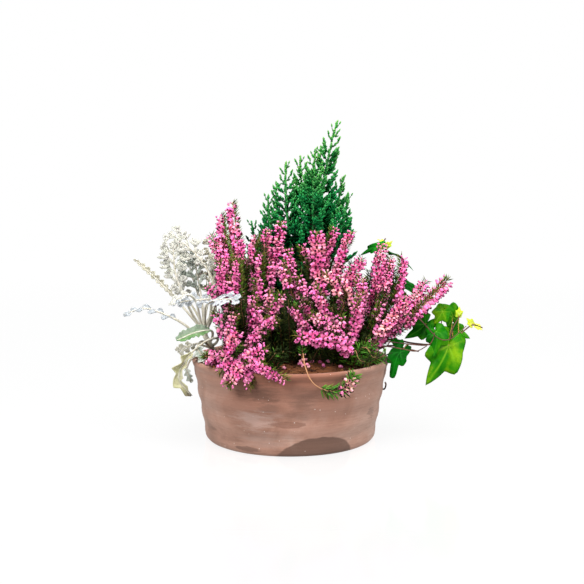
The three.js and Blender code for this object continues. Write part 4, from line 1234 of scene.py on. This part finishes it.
def leaf_map(mesh, line):
    """A flat map of a leaf, so that its finish bakes without seams: along it and across it."""
    layer = mesh.uv_layers.new(name="OFBake")
    spots = np.empty(len(mesh.vertices) * 3)
    mesh.vertices.foreach_get("co", spots)
    spots = spots.reshape(-1, 3) / MM
    nearest = np.argmin(((spots[:, None] - line[None]) ** 2).sum(axis=2), axis=1)
    ways = np.gradient(line, axis=0)
    facing = unit(np.cross(ways.mean(axis=0), [0.2, -0.5, 1.0]))
    off = ((spots - line[nearest]) * facing).sum(axis=1)
    flat = np.stack([0.03 + 0.94 * nearest / (len(line) - 1), 0.5 + off / 60], axis=-1)
    flat[:, 0] += ((spots - line[nearest]) * unit(ways[nearest])).sum(axis=1) / 1000
    corners = np.empty(len(mesh.loops), int)
    mesh.loops.foreach_get("vertex_index", corners)
    layer.data.foreach_set("uv", flat[corners].ravel())


def add_stalk(bm, line, foot_radius, tip_radius, sides, rings, slot):
    """Adds a tapering stalk to a leaf's bmesh, in the material with the given number."""
    form = stem_form(line, foot_radius, tip_radius, sides, rings)
    verts = [bm.verts.new(spot) for spot in form["spots"]]
    for corners in form["corners"]:
        face = bm.faces.new([verts[k] for k in corners])
        face.material_index = slot


def make_stem(name, line, radii, sides, rings, material, nodes=()):
    """A tapering stem as a piece of its own."""
    stem = bmesh.new()
    add_stalk(stem, line, *radii, sides, rings, 0)
    bmesh.ops.scale(stem, vec=(MM, MM, MM), verts=stem.verts)
    settle(add_object(name, stem, [material]), nodes)


def thickened(blade, thickness):
    """A blade's sheet given its thickness, half to each side, as a bmesh again."""
    bmesh.ops.recalc_face_normals(blade, faces=blade.faces)
    sheet = add_object("sheet", blade, [])
    solid = sheet.modifiers.new("thickness", "SOLIDIFY")
    solid.thickness = thickness
    solid.offset = 0
    made = bmesh.new()
    made.from_object(sheet, bpy.context.evaluated_depsgraph_get())
    bpy.data.objects.remove(sheet)
    return made


def finish_leaf(name, blade, whole_line, radii, thickness, materials, nodes):
    """Thickens a blade, adds its stalk and midrib, and makes it a piece."""
    leaf_mesh = thickened(blade, thickness)
    add_stalk(leaf_mesh, whole_line, *radii, 6, 30, 1)
    bmesh.ops.scale(leaf_mesh, vec=(MM, MM, MM), verts=leaf_mesh.verts)
    leaf = add_object(name, leaf_mesh, materials)
    leaf_map(leaf.data, whole_line)
    settle(leaf, nodes)


def make_miller_leaf(name, line_points, widest, start, wide, felt, rng, nodes, broad=None,
                     plump=False):
    """A dusty miller leaf: cut into lobes, or one broad blade. `broad` is then its teeth on a side
    and its right half's width as a share of its left half's."""
    line, sides = blade_frame(line_points, widest, start)
    length = length_of(line)
    blade = bmesh.new()
    if broad:
        add_broad_blade(blade, line, sides, wide, *broad, rng)
    else:
        pitch = LOBE_PITCH * (1.2 if plump else 1.0)
        pairs = max(3, round(length / pitch))
        for k in range(2 * pairs):
            share = 0.02 + 0.86 * k / (2 * pairs - 1)
            reach = wide * math.sin(math.pi * (0.22 + 0.60 * share)) * rng.uniform(1.15, 1.5)
            heading = rng.uniform(0.55, 0.85) * (1 if k % 2 else -1)
            add_lobe(blade, line, sides, share, heading, reach + 1, rng, plump)
        add_lobe(blade, line, sides, 0.88, 0, min(0.2 * length, 9) + 1, rng, plump)
    finish_leaf(name, blade, smooth_line(line_points, 80), (RIB_FOOT, RIB_TIP), FELT_THICKNESS,
                [felt, stalk_felt], nodes)


def small_leaf(stalk, joint, tip, facing, bow):
    """A small leaf's points from its root to its tip, bowed towards where it faces, and the
    direction across the blade at each."""
    joint, tip = np.array(joint, float), np.array(tip, float)
    bowed = (joint + tip) / 2 + unit(np.array(facing, float)) * bow * math.dist(joint, tip)
    return (np.array([*stalk, joint, bowed, tip]),
            np.tile(unit(np.cross(tip - joint, facing)), (len(stalk) + 3, 1)))


MILLER_ROOT = (-92, -8, 90)
MILLER_CROWN = (-107, -5, 126)
MILLER_LEAVES = 10
PLUMP_LEAF = 1  # with few thick lobes
HANGING_LEAF = 9  # flat against the bowl
# Leaves that aren't plain white: one dull and one blue grey above, two that show a grey
# underside, one whose felt paints the shade it stands in, and two old ones whose felt is worn thin.
OTHER_FELTS = {1: dull_felt, 2: grey_felt, 5: grey_felt, 6: blue_felt, 8: thin_felt,
               9: yellow_felt, 10: shade_felt}
# Leaves with a whole blade: the teeth on a side, and the right half's width as a share.
BROAD_LEAVES = {2: (9, 0.6), 8: (8, 1), 9: (4, 0.5)}
LEAF_BREADTHS = {2: 0.6, 6: 1.4, 8: 1.15, 9: 1.2}  # of the width that the frame gives
miller_stem_line = smooth_line(middle_line("miller_stem", MILLER_ROOT, 6)[0], 40)
make_stem("dusty_miller_woody_stem", miller_stem_line, (4.0, 3.2), 12, 30, stalk_felt,
          ["miller_stem"])
for number in range(1, MILLER_LEAVES + 1):
    node = f"miller_leaf_{number:02d}"
    rng = np.random.default_rng(300 + number)
    middles, widest, reaches = middle_line(node, MILLER_CROWN, 4)
    middles[0] = nearest(miller_stem_line, middles[1])
    widest[0] = widest[1]
    start = 1 + np.argmax(reaches[1:] > 2.5)
    if number == HANGING_LEAF:
        widest[:] = [1.0, 0.1, 0.0]
    make_miller_leaf(f"dusty_miller_leaf_{number:02d}", middles, widest, start,
                     reaches[1:].max() * LEAF_BREADTHS.get(number, 1.0),
                     OTHER_FELTS.get(number, white_felt),
                     rng, [node],
                     BROAD_LEAVES.get(number), number == PLUMP_LEAF)

# Smaller leaves lower on the stem and behind the tall ones: where the stalk leaves the stem, a
# bend, the foot of the blade and its tip, then facing, half width, felt and teeth if broad.
SMALL_MILLER_LEAVES = [
    ((-98, -8, 110), (-108, -34, 126), (-114, -46, 121), (-103, -50, 103), (-0.3, -1, 0.2), 8,
     shade_felt, (3, 1)),
    ((-99, -7, 113), (-112, -14, 118), (-119, -16, 120), (-139, -20, 112), (0, -1, 0.6), 7,
     grey_felt, None),
    ((-97, -8, 108), (-121, -22, 104), (-130, -22, 90), (-124, -22, 72), (-0.3, -1, 0.2), 5,
     shade_felt, (3, 1)),
    ((-110, -4, 134), (-112, 8, 160), (-116, 14, 186), (-122, 18, 222), (-0.1, -1, 0.1), 11,
     shade_felt, None),
    ((-111, -4, 136), (-108, 10, 158), (-104, 18, 180), (-106, 24, 222), (0.2, -1, 0.1), 11,
     grey_felt, None),
    ((-110, -4, 132), (-118, 12, 150), (-130, 22, 168), (-146, 30, 196), (-0.4, -1, 0.3), 9,
     white_felt, None),
    ((-109, -4, 130), (-100, 14, 150), (-96, 28, 168), (-98, 48, 204), (0.3, 1, 0.4), 10,
     white_felt, None),
    ((-108, -6, 128), (-98, -20, 160), (-92, -26, 176), (-142, -30, 173), (0.1, -0.8, 0.7), 9,
     blue_felt, None),
    ((-107, -6, 130), (-100, -16, 160), (-98, -22, 179), (-70, -36, 170), (0.1, -0.9, 0.5), 10,
     blue_felt, None),
]
for number, (foot, bend, joint, tip, facing, wide, felt, teeth) in enumerate(SMALL_MILLER_LEAVES, 1):
    rng = np.random.default_rng(340 + number)
    points, widest = small_leaf([foot, bend], joint, tip, facing, 0.08)
    make_miller_leaf(f"dusty_miller_small_leaf_{number}", points, widest, 2, wide, felt,
                     rng, [], teeth)

# ---------------------------------------------------------------------------------------------
# Ivy
# A trailing ivy rooted at the right of the bowl. Its thin red-brown vines carry glossy lobed
# leaves on long stalks, dark when old, bright green in the light and yellow when they unfold. The
# dark and bright greens are shaded and sunlit copies of one finish: painted shade and painted light.

IVY_THICKNESS = 0.45
IVY_TURNS = 60
IVY_RINGS = 10
# A blade's outline: angle from the tip in degrees, and distance from the stalk as a share of the
# blade's length, at each lobe's point and each notch.
IVY_OUTLINE = [(0, 1.0), (31, 0.60), (57, 0.84), (90, 0.60), (118, 0.66), (155, 0.46), (180, 0.12)]
IVY_VEINS = [0, 57, -57, 118, -118]


# Ivy blade: a leathery leaf with a soft wax gloss, patchy in its green and pale along its veins.
def ivy_material(name, deep, middle, light, vein):
    material, tree, shader = start_material(name, {"Roughness": 0.45, "Specular IOR Level": 0.06})
    _, _, tone = mottled(tree, 42.0, 3.0, [(0.34, deep), (0.5, middle), (0.68, light)])
    along = add_node(tree, "Attribute", {"attribute_name": "vein"}, {}).outputs["Fac"]
    mixed = add_node(tree, "Mix", {"data_type": "RGBA"}, {0: along, 6: tone, 7: linear(vein)})
    set_inputs(tree, shader, {"Base Color": mixed})
    return material


# Sunlit and shaded copies of one ivy green: painted light and painted shade.
ivy_bright = ivy_material("ivy_leaf_sunlit", "#0A5C02", "#2C7C02", "#729C08", "#78AA20")
ivy_middle = ivy_material("ivy_leaf", "#044C02", "#126C02", "#3E8806", "#3C8A20")
ivy_dark = ivy_material("ivy_leaf_shaded", "#024404", "#04600A", "#0C760E", "#1E8222")
ivy_young = ivy_material("ivy_leaf_unfolding", "#86BC1C", "#BCD42C", "#E2E44C", "#E6EC9A")
# Ivy vine: smooth green wood that weathers to red brown.
ivy_wood, tree, shader = start_material("ivy_vine_bark", {"Roughness": 0.6})
_, _, wood_tone = mottled(tree, 90.0, 3.0, [(0.35, "#3A1E18"), (0.55, "#643A2C"), (0.72, "#7A6434")])
set_inputs(tree, shader, {"Base Color": wood_tone})
# Ivy leaf stalk: fresh green flushed with red.
ivy_stalk, tree, shader = start_material("ivy_leaf_stalk", {"Roughness": 0.5})
_, _, stalk_tone = mottled(tree, 60.0, 2.0, [(0.38, "#8FA02E"), (0.55, "#A8843A"), (0.7, "#8A4A3A")])
set_inputs(tree, shader, {"Base Color": stalk_tone})


def ivy_reach(turn, blunt=False):
    """How far the outline of a blade is from its stalk, in the direction `turn` from its tip. A
    blunt one has round lobes."""
    angle = abs(math.degrees(turn))
    for (start, near), (end, far) in zip(IVY_OUTLINE, IVY_OUTLINE[1:]):
        if angle <= end:
            share = (angle - start) / (end - start)
            if blunt:
                share = share if far > near else max(0.0, share - 0.3) / 0.7
                return near + (far - near) * share ** 2 * (3 - 2 * share)
            if near > far:
                return far + (near - far) * (1 - share) ** 1.35
            return near + (far - near) * share ** 1.35
    return IVY_OUTLINE[-1][1]


IVY_BREADTH = max(math.sin(t) * ivy_reach(t) for t in np.linspace(0, math.pi, 181))


def make_ivy_leaf(name, middles, widest, start, half_width, cup, material, nodes, blunt=False):
    line, sides = blade_frame(middles, widest, start)
    length = length_of(line)
    blade = bmesh.new()
    bmesh.ops.create_grid(blade, x_segments=IVY_TURNS, y_segments=IVY_RINGS, size=1.0)
    vein = blade.verts.layers.float.new("vein")
    for v in blade.verts:
        turn, share = v.co.x * math.pi, v.co.y * 0.5 + 0.5
        reach = ivy_reach(turn, blunt) * share
        along, across = reach * math.cos(turn), reach * math.sin(turn) * half_width / IVY_BREADTH
        gap = min(abs((math.degrees(turn) - angle + 180) % 360 - 180) for angle in IVY_VEINS)
        v[vein] = max(0.0, 1 - gap * share / 3.0) * (1 - 0.6 * share)
        fold = 0.10 * abs(across) / half_width - cup * share ** 2
        wave = 0.035 * math.sin(5 * turn + 2.0) * share ** 2
        v.co = on_blade(line, sides, along, across, (fold + wave) * length)
    bmesh.ops.remove_doubles(blade, verts=blade.verts, dist=0.02)
    finish_leaf(name, blade, smooth_line(middles[:start + 1], 20), (0.8, 0.5), IVY_THICKNESS,
                [material, ivy_stalk], nodes)


VINE_COUNT = 4
IVY_ROOT = (95, 0, 90)
vine_lines = []
for number in range(1, VINE_COUNT + 1):
    node = f"ivy_vine_{number}"
    vine_lines.append(smooth_line(middle_line(node, IVY_ROOT, 6)[0], 80))
    make_stem(f"{node}_wood", vine_lines[-1], (1.3, 0.8), 8, 60, ivy_wood, [node])

# Each leaf of the frame: its vine, its finish and how much its blade cups.
IVY_LEAVES = [(1, ivy_bright, 0.10), (1, ivy_middle, 0.05), (1, ivy_bright, 0.10),
              (1, ivy_middle, 0.08), (2, ivy_middle, 0.10), (3, ivy_dark, 0.06),
              (4, ivy_dark, 0.08), (4, ivy_dark, 0.10)]
RIM_LEAF = 6  # it hangs close by the rim, and its lobes are blunt
IVY_SLIM = {6: 0.8, 7: 0.65}  # blades that are narrower than the frame gives
for number, (vine, finish, cup) in enumerate(IVY_LEAVES, 1):
    node = f"ivy_leaf_{number}"
    vine_line = vine_lines[vine - 1]
    box_middle = np.mean(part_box(node), axis=0) / MM
    middles, widest, reaches = middle_line(node, nearest(vine_line, box_middle), 4)
    narrow = reaches < 1.3
    start = len(reaches) - 1 - np.argmax(narrow[:-1][::-1])
    root = nearest(vine_line, middles[1])
    middles = np.vstack([[root], middles[start - 3:]])
    widest = np.vstack([[widest[start - 3]], widest[start - 3:]])
    if number == RIM_LEAF:
        # Its blade droops a little lower and nearer the rim than its solid.
        middles[3:] += [-5, 0, 0]
        middles[3:, 2] -= np.linspace(10, 0, len(middles) - 3)
    make_ivy_leaf(f"{node}_blade", middles, widest, 4, reaches[start:].max() * IVY_SLIM.get(number, 1),
                  cup, finish, [node], number == RIM_LEAF)

# Leaves still small, along the vines: the vine's number, the place along it, foot and tip of the
# blade, facing, half width and finish.
SMALL_IVY_LEAVES = [
    (1, 0.66, (192, -10, 160), (181, -12, 144), (0.1, -1, 0.2), 12, ivy_bright),
    (1, 0.80, (213, -6, 156), (214, -5, 166), (0.2, -1, 0.1), 5, ivy_young),
    (1, 0.93, (229, -8, 144), (222, -10, 152), (0.1, -1, 0.4), 5, ivy_young),
    (1, 0.99, (236, -8, 141), (243, -9, 136), (0, -1, 0.5), 3.5, ivy_young),
    (3, 0.52, (131, -18, 124), (137, -20, 116), (0, -1, 0.2), 5, ivy_dark),
    (2, 0.35, (136, 8, 186), (150, 6, 178), (0.1, -1, 0.6), 7, ivy_dark),
    (2, 0.40, (139, 6, 200), (152, 4, 196), (0, -0.4, 1), 5, ivy_dark),
    (2, 0.45, (136, 4, 170), (160, 2, 168), (0.1, -0.5, 1), 8, ivy_dark),
    (4, 0.96, (126, 38, 240), (133, 36, 247), (0.2, -1, 0.2), 4, ivy_young),
    (4, 0.92, (122, 38, 244), (113, 38, 249), (0, -0.6, 1), 4, ivy_young),
    (4, 0.80, (133, 20, 230), (157, 6, 211), (0.5, -0.2, 1), 2.2, ivy_dark),
]
for number, (vine, share, joint, tip, facing, half_width, finish) in enumerate(SMALL_IVY_LEAVES, 1):
    root = at_share(vine_lines[vine - 1], share)[0][0]
    stalk = [root, (root + joint) / 2 + [0, 2, 3]]
    points, widest = small_leaf(stalk, joint, tip, facing, 0.06)
    make_ivy_leaf(f"ivy_small_leaf_{number:02d}", points, widest, 2, half_width, 0.06, finish, [])

# Thin young stems that cross in front of the leaves, and a dry one that hangs behind the rim.
YOUNG_STEM_RADII = (0.9, 0.55)
DRY_STEM = 5
DRY_STEM_RADII = (1.2, 1.1)
YOUNG_VINES = [
    [(92, -34, 104), (106, -50, 126), (120, -50, 128), (146, -44, 124), (168, -40, 122),
     (175, -40, 128), (178, -38, 138)],
    [(92, -30, 104), (120, -46, 150), (146, -40, 160), (157, -40, 156), (168, -40, 145),
     (176, -40, 136), (186, -40, 129), (197, -36, 129), (209, -28, 135), (220, -20, 143)],
    [(94, -36, 104), (110, -54, 122), (120, -50, 122), (139, -45, 118), (155, -42, 115),
     (168, -40, 121)],
    [(197, -36, 129), (199, -36, 138), (203, -34, 147), (211, -30, 158)],
    [(104, 24, 103), (119, 30, 108), (124.5, 34, 100), (122, 33, 80), (119.5, 27, 62),
     (120, 21, 55), (122.2, 17, 54.8), (123.6, 16, 57.8), (124.2, 16, 61), (123.6, 16, 63.6),
     (122.6, 16, 64)],
]
for number, points in enumerate(YOUNG_VINES, 1):
    radii = DRY_STEM_RADII if number == DRY_STEM else YOUNG_STEM_RADII
    make_stem(f"ivy_young_stem_{number}", smooth_line(points, 80), radii, 6, 50, ivy_wood)
